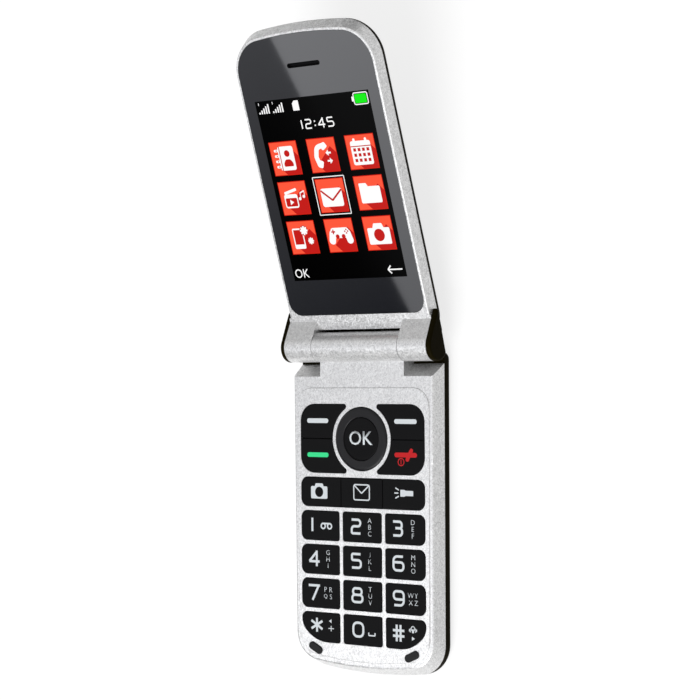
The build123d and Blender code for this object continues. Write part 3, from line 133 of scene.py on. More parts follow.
# ---------------- finishes
@dataclass(frozen=True)
class Finish:
    """A moulded, cast or coated surface whose gloss, tone and height vary a little.

    The grain is the distance between two high spots in millimetres, and the relief their height.
    """

    name: str
    colour: str
    roughness: float
    metallic: float = 0.0
    specular: float = 0.5
    grain: float = 0.4
    unevenness: float = 0.06
    tone: float = 0.06
    relief: float = 0.0
    coat: float = 0.0
    coat_roughness: float = 0.12

    def material(self) -> bpy.types.Material:
        """Return the finish's material, made when it is first asked for."""
        found = bpy.data.materials.get(self.name)
        if found:
            return found
        made = bpy.data.materials.new(self.name)
        made.diffuse_color = linear(self.colour)
        tree = empty_tree(made)
        shader = add_node(tree, "ShaderNodeBsdfPrincipled", {
            "Base Color": linear(self.colour), "Roughness": self.roughness,
            "Metallic": self.metallic, "Specular IOR Level": self.specular,
            "Coat Weight": self.coat, "Coat Roughness": self.coat_roughness})
        add_node(tree, "ShaderNodeOutputMaterial", links={"Surface": shader.outputs["BSDF"]})
        self.dress(tree, shader, add_node(tree, "ShaderNodeTexCoord").outputs["Object"])
        return made

    def tint(self, tree: bpy.types.NodeTree, share: bpy.types.NodeSocket,
             target: bpy.types.NodeSocket) -> None:
        """Run a colour input from a little darker to a little lighter than the finish's colour.

        Args:
            tree: the material's node tree.
            share: share of the lighter shade.
            target: the colour input.
        """
        dark, light = ((*(level * share_of for level in linear(self.colour)[:3]), 1.0)
                       for share_of in (1 - self.tone, 1 + self.tone))
        mix = add_node(tree, "ShaderNodeMix", {MIX_FIRST: dark, MIX_SECOND: light}, {0: share},
                       data_type="RGBA")
        tree.links.new(mix.outputs[MIX_RESULT], target)

    def dress(self, tree: bpy.types.NodeTree, shader: bpy.types.Node,
              place: bpy.types.NodeSocket) -> None:
        """Vary the gloss, the tone and the height.

        Args:
            tree: the material's node tree.
            shader: its surface shader.
            place: object coordinates.
        """
        grain = add_node(tree, "ShaderNodeTexNoise",
                         {"Scale": per_metre(self.grain), "Detail": 3.0}, {"Vector": place})
        gloss = add_node(tree, "ShaderNodeMapRange",
                         {"To Min": self.roughness - self.unevenness,
                          "To Max": self.roughness + self.unevenness},
                         {"Value": grain.outputs["Fac"]})
        tree.links.new(gloss.outputs["Result"], shader.inputs["Roughness"])
        self.tint(tree, grain.outputs["Fac"], shader.inputs["Base Color"])
        if self.relief:
            bump = add_node(tree, "ShaderNodeBump", {"Distance": self.relief * MM},
                            {"Height": grain.outputs["Fac"]})
            tree.links.new(bump.outputs["Normal"], shader.inputs["Normal"])


@dataclass(frozen=True)
class FlakePaint(Finish):
    """Sprayed metallic paint, in which each flake lies at a tilt and catches the light by itself.

    A flake's own tone counts by the flake share, and a cloud of the grain's size adds the drift.
    """

    flake: float = 0.34
    tilt: float = 0.12
    flake_share: float = 0.8
    drift: Point = (-0.1, 0.3)

    def dress(self, tree: bpy.types.NodeTree, shader: bpy.types.Node,
              place: bpy.types.NodeSocket) -> None:
        """Give every flake a tone and a tilt of its own.

        Args:
            tree: the material's node tree.
            shader: its surface shader.
            place: object coordinates.
        """
        flakes = add_node(tree, "ShaderNodeTexVoronoi", {"Scale": per_metre(self.flake)},
                          {"Vector": place})
        cloud = add_node(tree, "ShaderNodeTexNoise",
                         {"Scale": per_metre(self.grain), "Detail": 2.0}, {"Vector": place})
        drift = add_node(tree, "ShaderNodeMapRange",
                         {"To Min": self.drift[0], "To Max": self.drift[1]},
                         {"Value": cloud.outputs["Fac"]})
        mixed = add_node(tree, "ShaderNodeMath", {1: self.flake_share},
                         {0: flakes.outputs["Color"], 2: drift.outputs["Result"]},
                         operation="MULTIPLY_ADD")
        self.tint(tree, mixed.outputs[0], shader.inputs["Base Color"])
        centred = add_node(tree, "ShaderNodeVectorMath", {1: (0.5, 0.5, 0.5)},
                           {0: flakes.outputs["Color"]}, operation="SUBTRACT")
        normal = add_node(tree, "ShaderNodeNewGeometry").outputs["Normal"]
        leaning = add_node(tree, "ShaderNodeVectorMath", {1: (self.tilt,) * 3},
                           {0: centred.outputs[0], 2: normal}, operation="MULTIPLY_ADD")
        unit = add_node(tree, "ShaderNodeVectorMath", links={0: leaning.outputs[0]},
                        operation="NORMALIZE")
        tree.links.new(unit.outputs[0], shader.inputs["Normal"])


@dataclass(frozen=True)
class Glow(Finish):
    """Colour that a liquid crystal display shows, in its fine grid of dots."""

    roughness: float = 0.12
    specular: float = 0.04
    tone: float = 0.02
    dot: float = 0.18

    def dress(self, tree: bpy.types.NodeTree, shader: bpy.types.Node,
              place: bpy.types.NodeSocket) -> None:
        """Let the dots shine.

        Args:
            tree: the material's node tree.
            shader: its surface shader.
            place: object coordinates.
        """
        dots = add_node(tree, "ShaderNodeTexChecker", {"Scale": per_metre(self.dot)},
                        {"Vector": place})
        self.tint(tree, dots.outputs["Fac"], shader.inputs["Emission Color"])
        shader.inputs["Emission Strength"].default_value = 1.0
        shader.inputs["Base Color"].default_value = (0.0, 0.0, 0.0, 1.0)


# Silver metallic basecoat on moulded ABS: bright, with a fine sparkle. Real flakes are 0.02 mm,
# and these are drawn as coarse as the sparkle that the eye sees.
SILVER_PAINT = FlakePaint("metallic_flake_paint", "#D3D3D3", 0.34, metallic=0.65, tone=0.34,
                          grain=1.2)
# Black ABS with a brown cast, moulded in a finely eroded tool: deep, with hardly a reflection.
BLACK_ABS = Finish("moulded_black_abs", "#171305", 0.34, specular=0.01, grain=0.5, relief=0.004)
# Key caps of polycarbonate under a soft matt lacquer, with almost no reflection.
KEY_LACQUER = Finish("soft_black_lacquer", "#0E0E0F", 0.48, specular=0.06, grain=0.25, relief=0.002)
# The ring is the same plastic, polished and a little greyer.
RING_PLASTIC = Finish("satin_black_polycarbonate", "#161618", 0.33, specular=0.2, grain=0.5)
# Cast acrylic window, printed dark grey from behind: a hard, mirror-flat gloss over a dull ink.
WINDOW_ACRYLIC = Finish("printed_acrylic_window", "#1C1D21", 0.03, specular=1.0, grain=6.0,
                        unevenness=0.01, tone=0.04)
# Nitrile rubber buffers, dull and slightly grainy.
RUBBER = Finish("nitrile_rubber", "#1B1B1C", 0.62, specular=0.2, grain=0.2, relief=0.01)
# Moulded silicone keypad mat: dark grey, dull and dusty to the touch.
SILICONE = Finish("silicone_mat", "#34363A", 0.6, specular=0.3, grain=0.5, relief=0.01)
# Printed circuit board: green solder resist over copper.
SOLDER_RESIST = Finish("solder_resist", "#1F5B35", 0.35, grain=1.6, tone=0.25, relief=0.01)
# Polyester film of the dome sheet.
POLYESTER_FILM = Finish("polyester_film", "#D9D9D2", 0.25, grain=3.0)
# Polyimide film of the display's lead: amber and glossy.
POLYIMIDE = Finish("polyimide_film", "#B5702A", 0.3, grain=0.8, tone=0.12)
# Stamped stainless steel, rolled: fine streaks of gloss.
STEEL = Finish("stamped_stainless_steel", "#B9BCC0", 0.28, metallic=1.0, grain=0.3, unevenness=0.1)
# Black oxide on the earpiece's etched steel: matt, so that its rows of holes read as cloth.
BLACK_STEEL = Finish("black_oxide_steel", "#08080A", 0.5, metallic=0.4, specular=0.1, grain=0.2)
# Nickel-plated neodymium magnet.
NICKEL = Finish("nickel_plate", "#C8C6BE", 0.2, metallic=1.0, grain=0.6)
# Glass-filled nylon of the small components.
NYLON = Finish("glass_filled_nylon", "#26272A", 0.5, specular=0.3, grain=0.3, relief=0.01)
# Aluminium can of the battery in a thin grey sleeve: a dull sheen.
BATTERY_SLEEVE = Finish("battery_sleeve", "#8D9196", 0.4, metallic=0.5, grain=0.4, tone=0.08)
# Hard-coated window of the camera: deep, almost black, and mirror smooth.
CAMERA_GLASS = Finish("hard_coated_glass", "#0B0C12", 0.02, specular=0.8, grain=4.0,
                      unevenness=0.01)
# Phosphor of a white light-emitting diode under its clear lens.
LED_PHOSPHOR = Finish("led_phosphor", "#E9E3B4", 0.12, grain=0.5, tone=0.1, coat=1.0)
# Cool white, green and red pad-printed inks, cured matt.
WHITE_INK = Finish("white_pad_ink", "#D3D9DD", 0.5, specular=0.2, grain=0.3, tone=0.03)
GREEN_INK = Finish("green_pad_ink", "#35DE8D", 0.5, specular=0.2, grain=0.3, tone=0.03)
RED_INK = Finish("red_pad_ink", "#C0161B", 0.5, specular=0.2, grain=0.3, tone=0.03)

SLOT_FINISHES = {
    "silver_paint": SILVER_PAINT, "black_cover": BLACK_ABS, "keycap": KEY_LACQUER,
    "ring_gloss": RING_PLASTIC, "window": WINDOW_ACRYLIC, "display": CAMERA_GLASS,
    "rubber_pad": RUBBER, "silicone": SILICONE, "circuit_board": SOLDER_RESIST,
    "film": POLYESTER_FILM, "polyimide": POLYIMIDE, "steel": STEEL, "magnet": NICKEL,
    "contact_block": NYLON, "battery_can": BATTERY_SLEEVE, "clear_window": CAMERA_GLASS,
    "torch": LED_PHOSPHOR,
}
NODE_FINISHES = {"earpiece_mesh": BLACK_STEEL}


class Layer(Enum):
    """Layers of the display's picture, from the window up, each in one colour."""

    GROUND = Glow("display_ground", "#000000", tone=0.0)
    EDGE = Glow("display_tile_edge", "#D9210F")
    TILE = Glow("display_tile", "#FF583C")
    SHADE = Glow("display_shade", "#C41E1A")
    MARK = Glow("display_mark", "#FFFFFF", tone=0.01)
    DETAIL = Glow("display_detail", "#C41E1A")
    FRONT = Glow("display_front", "#FFFFFF", tone=0.01)
    CHARGE = Glow("display_charge", "#14F018")


# ---------------- flat marks
def rectangle(width: float, height: float) -> tuple[Point, ...]:
    """Return the corners of a rectangle round the origin, anticlockwise."""
    x, y = width / 2, height / 2
    return (-x, -y), (x, -y), (x, y), (-x, y)


class Drawing:
    """Marks on a flat surface, each a plate of its own with a small thickness."""

    MERGE = 1e-5    # millimetres
    CORNER_STEPS, BEND_STEPS, DISC_STEPS, LETTER_STEPS = 5, 7, 36, 3    # facets of each round

    def __init__(self, thickness: float = 0.02, lift: float = 0.004, rise: float = 0.002) -> None:
        """Start an empty drawing.

        Args:
            thickness: of the marks, in millimetres.
            lift: height of their undersides over the surface.
            rise: how much higher each further mark ends, so that no two tops share a plane.
        """
        self.thickness = thickness
        self.lift = lift
        self.rise = rise
        self.marks = bmesh.new()

    def _add(self, mark: bmesh.types.BMesh, centre: Point, turn: float = 0.0) -> None:
        """Thicken a flat mark and put it in its place.

        Args:
            mark: the flat mark, drawn round the origin. It is used up.
            centre: place of its origin.
            turn: degrees anticlockwise.
        """
        bmesh.ops.remove_doubles(mark, verts=mark.verts[:], dist=self.MERGE)
        grown = bmesh.ops.extrude_face_region(mark, geom=mark.faces[:])["geom"]
        top = [item for item in grown if isinstance(item, bmesh.types.BMVert)]
        bmesh.ops.translate(mark, verts=top, vec=(0, 0, self.thickness))
        self.thickness += self.rise
        bmesh.ops.recalc_face_normals(mark, faces=mark.faces[:])
        turned = Matrix.Rotation(math.radians(turn), 4, "Z")
        place = Matrix.Translation((*centre, self.lift)) @ turned
        bmesh.ops.transform(mark, matrix=place, verts=mark.verts[:])
        store = as_mesh("mark", mark)
        self.marks.from_mesh(store)
        bpy.data.meshes.remove(store)

    def plate(self, corners: Sequence[Point], rounding: float = 0.0, centre: Point = (0, 0),
              turn: float = 0.0) -> None:
        """Fill an outline, with its corners rounded.

        Args:
            corners: the outline, anticlockwise.
            rounding: how far from a corner its round begins.
            centre: place of the drawing's origin.
            turn: degrees anticlockwise.
        """
        mark = bmesh.new()
        mark.faces.new([mark.verts.new((*corner, 0)) for corner in corners])
        if rounding:
            bmesh.ops.bevel(mark, geom=mark.verts[:], offset=rounding, affect="VERTICES",
                            segments=self.CORNER_STEPS, profile=0.5, material=-1)
        self._add(mark, centre, turn)

    def box(self, width: float, height: float, centre: Point = (0, 0), rounding: float = 0.0,
            turn: float = 0.0) -> None:
        """Fill a rectangle.

        Args:
            width: across.
            height: upwards.
            centre: its middle.
            rounding: how far from a corner its round begins.
            turn: degrees anticlockwise.
        """
        self.plate(rectangle(width, height), rounding, centre, turn)

    def disc(self, radius: float, centre: Point = (0, 0), hole: float = 0.0) -> None:
        """Fill a circle, or a ring round a hole.

        Args:
            radius: of its edge.
            centre: its middle.
            hole: radius of the hole.
        """
        mark = bmesh.new()
        edge = mark.edges.new([mark.verts.new((hole, 0, 0)), mark.verts.new((radius, 0, 0))])
        bmesh.ops.spin(mark, geom=[*edge.verts, edge], cent=(0, 0, 0), axis=(0, 0, 1),
                       angle=math.tau, steps=self.DISC_STEPS, use_merge=True)
        self._add(mark, centre)

    def line(self, path: Sequence[Point], width: float, bends: Sequence[float] = (0.0,),
             closed: bool = False, centre: Point = (0, 0), turn: float = 0.0) -> None:
        """Draw a pen line of even width: straight runs joined by round bends.

        Args:
            path: its corner points.
            width: of the pen.
            bends: radius at each inner corner, or one for all.
            closed: whether it returns to its start.
            centre: place of the drawing's origin.
            turn: degrees anticlockwise.
        """
        points = [Vector(point) for point in path]
        if closed:
            middle = (points[0] + points[1]) / 2
            points = [middle, *points[1:], points[0], middle]
        radii = list(bends) * (len(points) - 2) if len(bends) == 1 else list(bends)
        runs = [after - before for before, after in zip(points, points[1:])]
        turns = [-first.angle_signed(second) for first, second in zip(runs, runs[1:])]
        trims = [radius * math.tan(abs(angle) / 2) for radius, angle in zip(radii, turns)]
        trims = [0.0, *trims, 0.0]
        mark = bmesh.new()
        side = runs[0].normalized().orthogonal() * width / 2
        start = [mark.verts.new((*(points[0] + offset), 0)) for offset in (side, -side)]
        pen = mark.edges.new(start)
        for place, run in enumerate(runs):
            heading = run.normalized()
            straight = heading * (run.length - trims[place] - trims[place + 1])
            grown = bmesh.ops.extrude_edge_only(mark, edges=[pen])["geom"]
            tips = [item for item in grown if isinstance(item, bmesh.types.BMVert)]
            bmesh.ops.translate(mark, verts=tips, vec=(*straight, 0))
            pen = next(item for item in grown if isinstance(item, bmesh.types.BMEdge)
                       and all(tip in tips for tip in item.verts))
            if place < len(turns) and trims[place + 1] > 0:
                left = math.copysign(radii[place], turns[place])
                tip = (pen.verts[0].co + pen.verts[1].co) / 2
                pivot = tip + Vector((-heading.y, heading.x, 0)) * left
                spun = bmesh.ops.spin(mark, geom=[*pen.verts, pen], cent=pivot, axis=(0, 0, 1),
                                      angle=turns[place], steps=self.BEND_STEPS,
                                      use_merge=False)
                pen = next(item for item in spun["geom_last"]
                           if isinstance(item, bmesh.types.BMEdge))
        self._add(mark, centre, turn)

    def letters(self, text: str, height: float, centre: Point = (0, 0), width: float = 0.0,
                weight: float = 0.0) -> None:
        """Set capital letters in the plain built-in face.

        Args:
            text: the letters.
            height: of a capital.
            centre: middle of the text.
            width: of the whole text, or zero for the face's own.
            weight: how much bolder than the face, as a share of a capital's height.
        """
        curve = bpy.data.curves.new("letters", "FONT")
        curve.body = text
        curve.offset = weight
        curve.resolution_u = self.LETTER_STEPS
        holder = add_object("letters", curve)
        bpy.context.view_layer.update()
        shown = holder.evaluated_get(bpy.context.evaluated_depsgraph_get())
        flat = bpy.data.meshes.new_from_object(shown)
        mark = bmesh.new()
        mark.from_mesh(flat)
        bpy.data.objects.remove(holder)
        bpy.data.curves.remove(curve)
        bpy.data.meshes.remove(flat)
        spans = [[vert.co[axis] for vert in mark.verts] for axis in (0, 1)]
        low, high = [Vector(map(pick, spans)) for pick in (min, max)]
        scale = height / (high.y - low.y)
        across = width / (high.x - low.x) if width else scale
        middle = (low + high) / 2
        centred = Matrix.Translation((-middle.x, -middle.y, 0))
        place = Matrix.Diagonal((across, scale, 1, 1)) @ centred
        bmesh.ops.transform(mark, matrix=place, verts=mark.verts[:])
        self._add(mark, centre)

    def piece(self, name: str, surface: Matrix, finish: Finish, body: str, slot: str) -> None:
        """Turn the drawing into a piece that rides on a body.

        Args:
            name: of the piece.
            surface: turns the drawing's millimetres into the frame.
            finish: its finish.
            body: what it rides on.
            slot: not used.
        """
        bmesh.ops.transform(self.marks, matrix=surface, verts=self.marks.verts[:])
        mesh = as_mesh(name, self.marks)
        mesh.materials.append(finish.material())
        made = add_object(name, mesh)
        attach(made, body)


# ---------------- figures of the keys
@dataclass(frozen=True)
class Line:
    """One pen line of a figure: corner points in shares of its box, and the radii of its bends."""

    path: tuple[Point, ...]
    bends: tuple[float, ...] = (0.0,)
    closed: bool = False


@dataclass(frozen=True)
class Figure:
    """A figure drawn with one pen, with its width and bends as they are at the figures' height."""

    width: float
    lines: tuple[Line, ...]

    def draw(self, drawing: Drawing, height: float, pen: float, centre: Point,
             scale: float = 1.0) -> None:
        """Draw the figure.

        Args:
            drawing: what it is drawn on.
            height: over the pen's lines.
            pen: width of the lines.
            centre: middle of the figure.
            scale: of its width and bends.
        """
        across, up = self.width * scale - pen, height - pen
        for line in self.lines:
            path = [((x - 0.5) * across, (y - 0.5) * up) for x, y in line.path]
            drawing.line(path, pen, [bend * scale for bend in line.bends], line.closed, centre)


FIGURES = {
    "0": Figure(4.6, (Line(((0, 0), (1, 0), (1, 1), (0, 1)), (1.5,), True),)),
    "1": Figure(0.9, (Line(((0.5, 0), (0.5, 1))),)),
    "2": Figure(4.1, (Line(((0, 1), (1, 1), (1, 0.52), (0, 0.52), (0, 0), (1, 0)),
                           (1.0, 1.0, 1.0, 0.45)),)),
    "3": Figure(4.1, (Line(((0, 1), (0.96, 1), (0.96, 0.53), (0.25, 0.53)), (0.9, 0.7)),
                      Line(((0.25, 0.53), (1, 0.53), (1, 0), (0, 0)), (0.9, 1.0)))),
    "4": Figure(4.7, (Line(((0.74, 1), (0, 0.28))), Line(((-0.02, 0.28), (1.02, 0.28))),
                      Line(((0.74, 1.08), (0.74, -0.08))))),
    "5": Figure(4.2, (Line(((0.96, 1), (0, 1), (0, 0.55), (1, 0.55), (1, 0), (0, 0)),
                           (0.45, 0.45, 1.0, 1.0)),)),
    "6": Figure(4.5, (Line(((0.95, 1), (0, 1), (0, 0), (1, 0), (1, 0.58), (0.1, 0.58)),
                           (1.4, 1.2, 1.05, 1.05)),)),
    "7": Figure(4.5, (Line(((-0.1, 1), (1.1, 1))), Line(((0.98, 1.04), (0.3, -0.09))))),
    "8": Figure(4.7, (Line(((0.08, 0.53), (0.92, 0.53), (0.92, 1), (0.08, 1)), (0.92,), True),
                      Line(((0, 0), (1, 0), (1, 0.53), (0, 0.53)), (1.05,), True))),
    "9": Figure(4.5, (Line(((0.05, 0), (1, 0), (1, 1), (0, 1), (0, 0.42), (0.9, 0.42)),
                           (1.4, 1.2, 1.05, 1.05)),)),
    "star": Figure(4.6, (Line(((0.5, 0.08), (0.5, 1.115))), Line(((-0.07, 0.3), (1.07, 0.9))),
                         Line(((-0.07, 0.9), (1.07, 0.3))))),
    "hash": Figure(4.2, (Line(((0.29, -0.1), (0.29, 1.1))), Line(((0.71, -0.1), (0.71, 1.1))),
                         Line(((-0.12, 0.29), (1.12, 0.29))), Line(((-0.12, 0.69), (1.12, 0.69))))),
}


@dataclass
class Keypad:
    """What is printed on the keys, with each place counted from the middle of its key.

    The bars are counted from the middle of the ring that their keys stand round.
    """

    pen: float = 0.76
    thin_pen: float = 0.4
    fine_pen: float = 0.27
    figure_left: float = -4.7
    middle_left: float = -4.25
    figure_up: float = 0.22
    letter_height: float = 1.5
    letter_pitch: float = 2.05
    letters_right: float = 3.05
    letter_weight: float = -0.01
    pair_width: float = 2.05
    pair_pitch: float = 2.2
    reel_radius: float = 0.8
    reel_pen: float = 0.5
    reels_apart: float = 1.25
    reels_at: Point = (2.5, -0.1)
    plus_reach: Point = (1.05, 0.85)
    wave_reach: tuple[Point, Point] = ((0.95, 0.62), (1.28, 0.36))
    bar_length: float = 8.4
    bar_width: float = 1.45
    bar_rounding: float = 0.49
    bar_right: float = 16.9
    soft_up: float = 5.55
    call_up: float = -5.15
    end_up: float = -4.65
    handset_pen: float = 1.3
    handset_right: float = 1.35
    handset_reach: Point = (0.75, 1.35)
    power_from_bar: Point = (-1.75, -2.15)
    power_radii: Point = (1.25, 0.95)
    camera_at: Point = (-0.37, -0.22)
    camera_size: Point = (6.5, 3.9)
    camera_hole: float = 1.6
    envelope_at: Point = (0.05, 0.25)
    envelope_size: Point = (6.0, 4.7)
    torch_at: Point = (-0.03, 0.45)
    torch_rays: Triple = (-26.0, 0.0, 26.0)
    ok_at: Point = (-0.05, 0.33)
    ok_size: Point = (8.9, 4.3)
    ok_weight: float = 0.008
    shifts: dict[str, float] = field(default_factory=lambda: {"1": 1.2, "0": 0.3, "star": 0.85})
    stacks: dict[str, str] = field(default_factory=lambda: {
        "2": "ABC", "3": "DEF", "4": "GHI", "5": "JKL", "6": "MNO", "8": "TUV"})
    pairs: dict[str, tuple[str, str]] = field(default_factory=lambda: {
        "7": ("PR", "QS"), "9": ("WY", "XZ")})

    def top_of(self, node: str) -> Matrix:
        """Return the matrix from a drawing round a key's middle to that key's top."""
        low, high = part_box(node)
        return Matrix.Translation(((low.x + high.x) / 2, (low.y + high.y) / 2, high.z)) @ \
            Matrix.Diagonal((MM, MM, MM, 1))

    def print_on(self, drawing: Drawing, key: str, finish: Finish = WHITE_INK,
                 of_ring: bool = False, mark: str = "legend") -> None:
        """Print a drawing on a key.

        Args:
            drawing: the marks.
            key: node and body of the key.
            finish: the ink.
            of_ring: whether the drawing's places are from the middle of the ring.
            mark: first word of the piece's name.
        """
        surface = self.top_of(key)
        if of_ring:
            centre = self.top_of("ok_key").translation
            surface.translation = (centre.x, centre.y, surface.translation.z)
        drawing.piece(f"{mark}_{key}", surface, finish, key, "keycap")

    def numbers(self) -> None:
        """Print the figures, with their small letters and signs."""
        signs = {"1": self.reels, "0": self.space, "star": self.star_signs, "hash": self.hash_signs}
        for name, figure in FIGURES.items():
            key = f"key_{name}"
            low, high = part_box(key)
            in_middle = abs(low.x + high.x) < MM
            left = (self.middle_left if in_middle else self.figure_left) + self.shifts.get(name, 0)
            drawing = Drawing()
            figure.draw(drawing, FIGURE_HEIGHT, self.pen, (left + figure.width / 2, self.figure_up))
            self.small_letters(drawing, name)
            if name in signs:
                signs[name](drawing)
            self.print_on(drawing, key)

    def small_letters(self, drawing: Drawing, name: str) -> None:
        """Add the letters beside a figure.

        Args:
            drawing: the key's drawing.
            name: of the figure.
        """
        right, middle = self.letters_right, self.figure_up
        places = [(letter, right, middle + (1 - place) * self.letter_pitch)
                  for place, letter in enumerate(self.stacks.get(name, ""))]
        places += [(letter, right + side * self.pair_width, middle + (0.5 - row) * self.pair_pitch)
                   for row, pair in enumerate(self.pairs.get(name, ()))
                   for side, letter in zip((-0.5, 0.5), pair)]
        for letter, x, y in places:
            drawing.letters(letter, self.letter_height, (x, y), weight=self.letter_weight)

    def reels(self, drawing: Drawing) -> None:
        """Add the two reels of the voice mail to a key's drawing."""
        x, y = self.reels_at
        radius, pen, apart = self.reel_radius, self.reel_pen, self.reels_apart
        for side in (-1, 1):
            drawing.disc(radius + pen / 2, (x + side * apart, y), radius - pen / 2)
        drawing.line(((-apart, 0), (apart, 0)), pen, centre=(x, y + radius))

    def space(self, drawing: Drawing) -> None:
        """Add the bracket of a space to a key's drawing."""
        drawing.line(((-1.2, 0.6), (-1.2, -0.3), (1.2, -0.3), (1.2, 0.6)), self.thin_pen,
                     (self.thin_pen / 2,), centre=(self.letters_right + 0.5, -1.0))

    def star_signs(self, drawing: Drawing) -> None:
        """Add an arrow and a plus to a key's drawing."""
        right = self.letters_right
        drawing.plate(((-0.55, 0), (0.45, -0.6), (0.45, 0.6)), centre=(right + 0.7, 2.1))
        for turn, reach in zip((0, 90), self.plus_reach):
            drawing.line(((-reach, 0), (reach, 0)), self.fine_pen, centre=(right + 1.0, -0.2),
                         turn=turn)

    def hash_signs(self, drawing: Drawing) -> None:
        """Add a small handset between waves, and an arrow, to a key's drawing."""
        x, y, fine = self.letters_right - 0.3, 1.75, self.fine_pen
        drawing.box(0.75, 1.15, (x, y - 0.6), 0.12)
        drawing.line(((-0.62, -0.5), (-0.62, 0.8), (0.62, 0.8), (0.62, -0.5)), fine, (0.5,),
                     centre=(x, y))
        for side in (-1, 1):
            for out, reach in self.wave_reach:
                wave = ((side * out, -reach), (side * (out + 0.12), 0), (side * out, reach))
                drawing.line(wave, fine, (0.6,), centre=(x, y - 0.35))
        drawing.plate(((0.6, 0), (-0.5, 0.62), (-0.5, -0.62)), centre=(x + 0.1, -1.1))

    def bars(self) -> None:
        """Print the bars of the soft, call and end keys."""
        for key, side, up, ink in (("soft_left_key", -1, self.soft_up, WHITE_INK),
                                   ("soft_right_key", 1, self.soft_up, WHITE_INK),
                                   ("call_key", -1, self.call_up, GREEN_INK),
                                   ("end_key", 1, self.end_up, RED_INK)):
            drawing = Drawing()
            middle = (side * self.bar_right, up)
            drawing.box(self.bar_length, self.bar_width, middle, self.bar_width * self.bar_rounding)
            if ink is RED_INK:
                self.end_signs(drawing, *middle)
            self.print_on(drawing, key, ink, of_ring=True)

    def end_signs(self, drawing: Drawing, x: float, y: float) -> None:
        """Add a slanted handset and the ring of the power switch to a bar's drawing.

        Args:
            drawing: the end key's drawing.
            x: middle of its bar, across.
            y: middle of its bar, upwards.
        """
        across, up = self.handset_reach
        right = x + self.handset_right
        drawing.line(((-across, -up), (across, up)), self.handset_pen, centre=(right, y))
        for end in (-1, 1):
            drawing.disc(self.handset_pen / 2, (right + end * across, y + end * up))
        ring = (x + self.power_from_bar[0], y + self.power_from_bar[1])
        drawing.disc(self.power_radii[0], ring, self.power_radii[1])
        drawing.box(0.3, 1.5, ring)

    def camera(self) -> None:
        """Print the camera, with its lens in the colour of the key."""
        x, y = self.camera_at
        body = Drawing()
        body.box(*self.camera_size, (x, y), 0.45)
        body.plate(((-1.8, 0), (1.8, 0), (1.4, 1.0), (-1.4, 1.0)), 0.3, (x, y + 1.85))
        self.print_on(body, "camera_key")
        hole = Drawing(lift=0.026)
        hole.disc(self.camera_hole, (x, y + 0.15))
        self.print_on(hole, "camera_key", KEY_LACQUER, mark="hole")

    def envelope(self) -> None:
        """Print the envelope of the message key."""
        drawing = Drawing()
        drawing.line(rectangle(*self.envelope_size), self.thin_pen, (0.6,), True, self.envelope_at)
        out, up = (size / 2 - 0.25 for size in self.envelope_size)
        drawing.line(((-out, up), (0, -0.3), (out, up)), self.thin_pen, (0.25,),
                     centre=self.envelope_at)
        self.print_on(drawing, "message_key")

    def torch(self) -> None:
        """Print the torch with its rays."""
        drawing = Drawing()
        drawing.plate(((-1.35, -1.05), (0.2, -1.05), (0.6, -0.8), (3.45, -0.8), (3.45, 0.8),
                       (0.6, 0.8), (0.2, 1.05), (-1.35, 1.05)), 0.2, self.torch_at)
        for turn in self.torch_rays:
            drawing.line(((-3.6, 0), (-2.15, 0)), self.thin_pen, centre=(0.0, self.torch_at[1]),
                         turn=turn)
        self.print_on(drawing, "torch_key")

    def build(self) -> None:
        """Print all the keys."""
        self.numbers()
        self.bars()
        self.camera()
        self.envelope()
        self.torch()
        width, height = self.ok_size
        drawing = Drawing()
        drawing.letters("OK", height, self.ok_at, width, self.ok_weight)
        self.print_on(drawing, "ok_key")


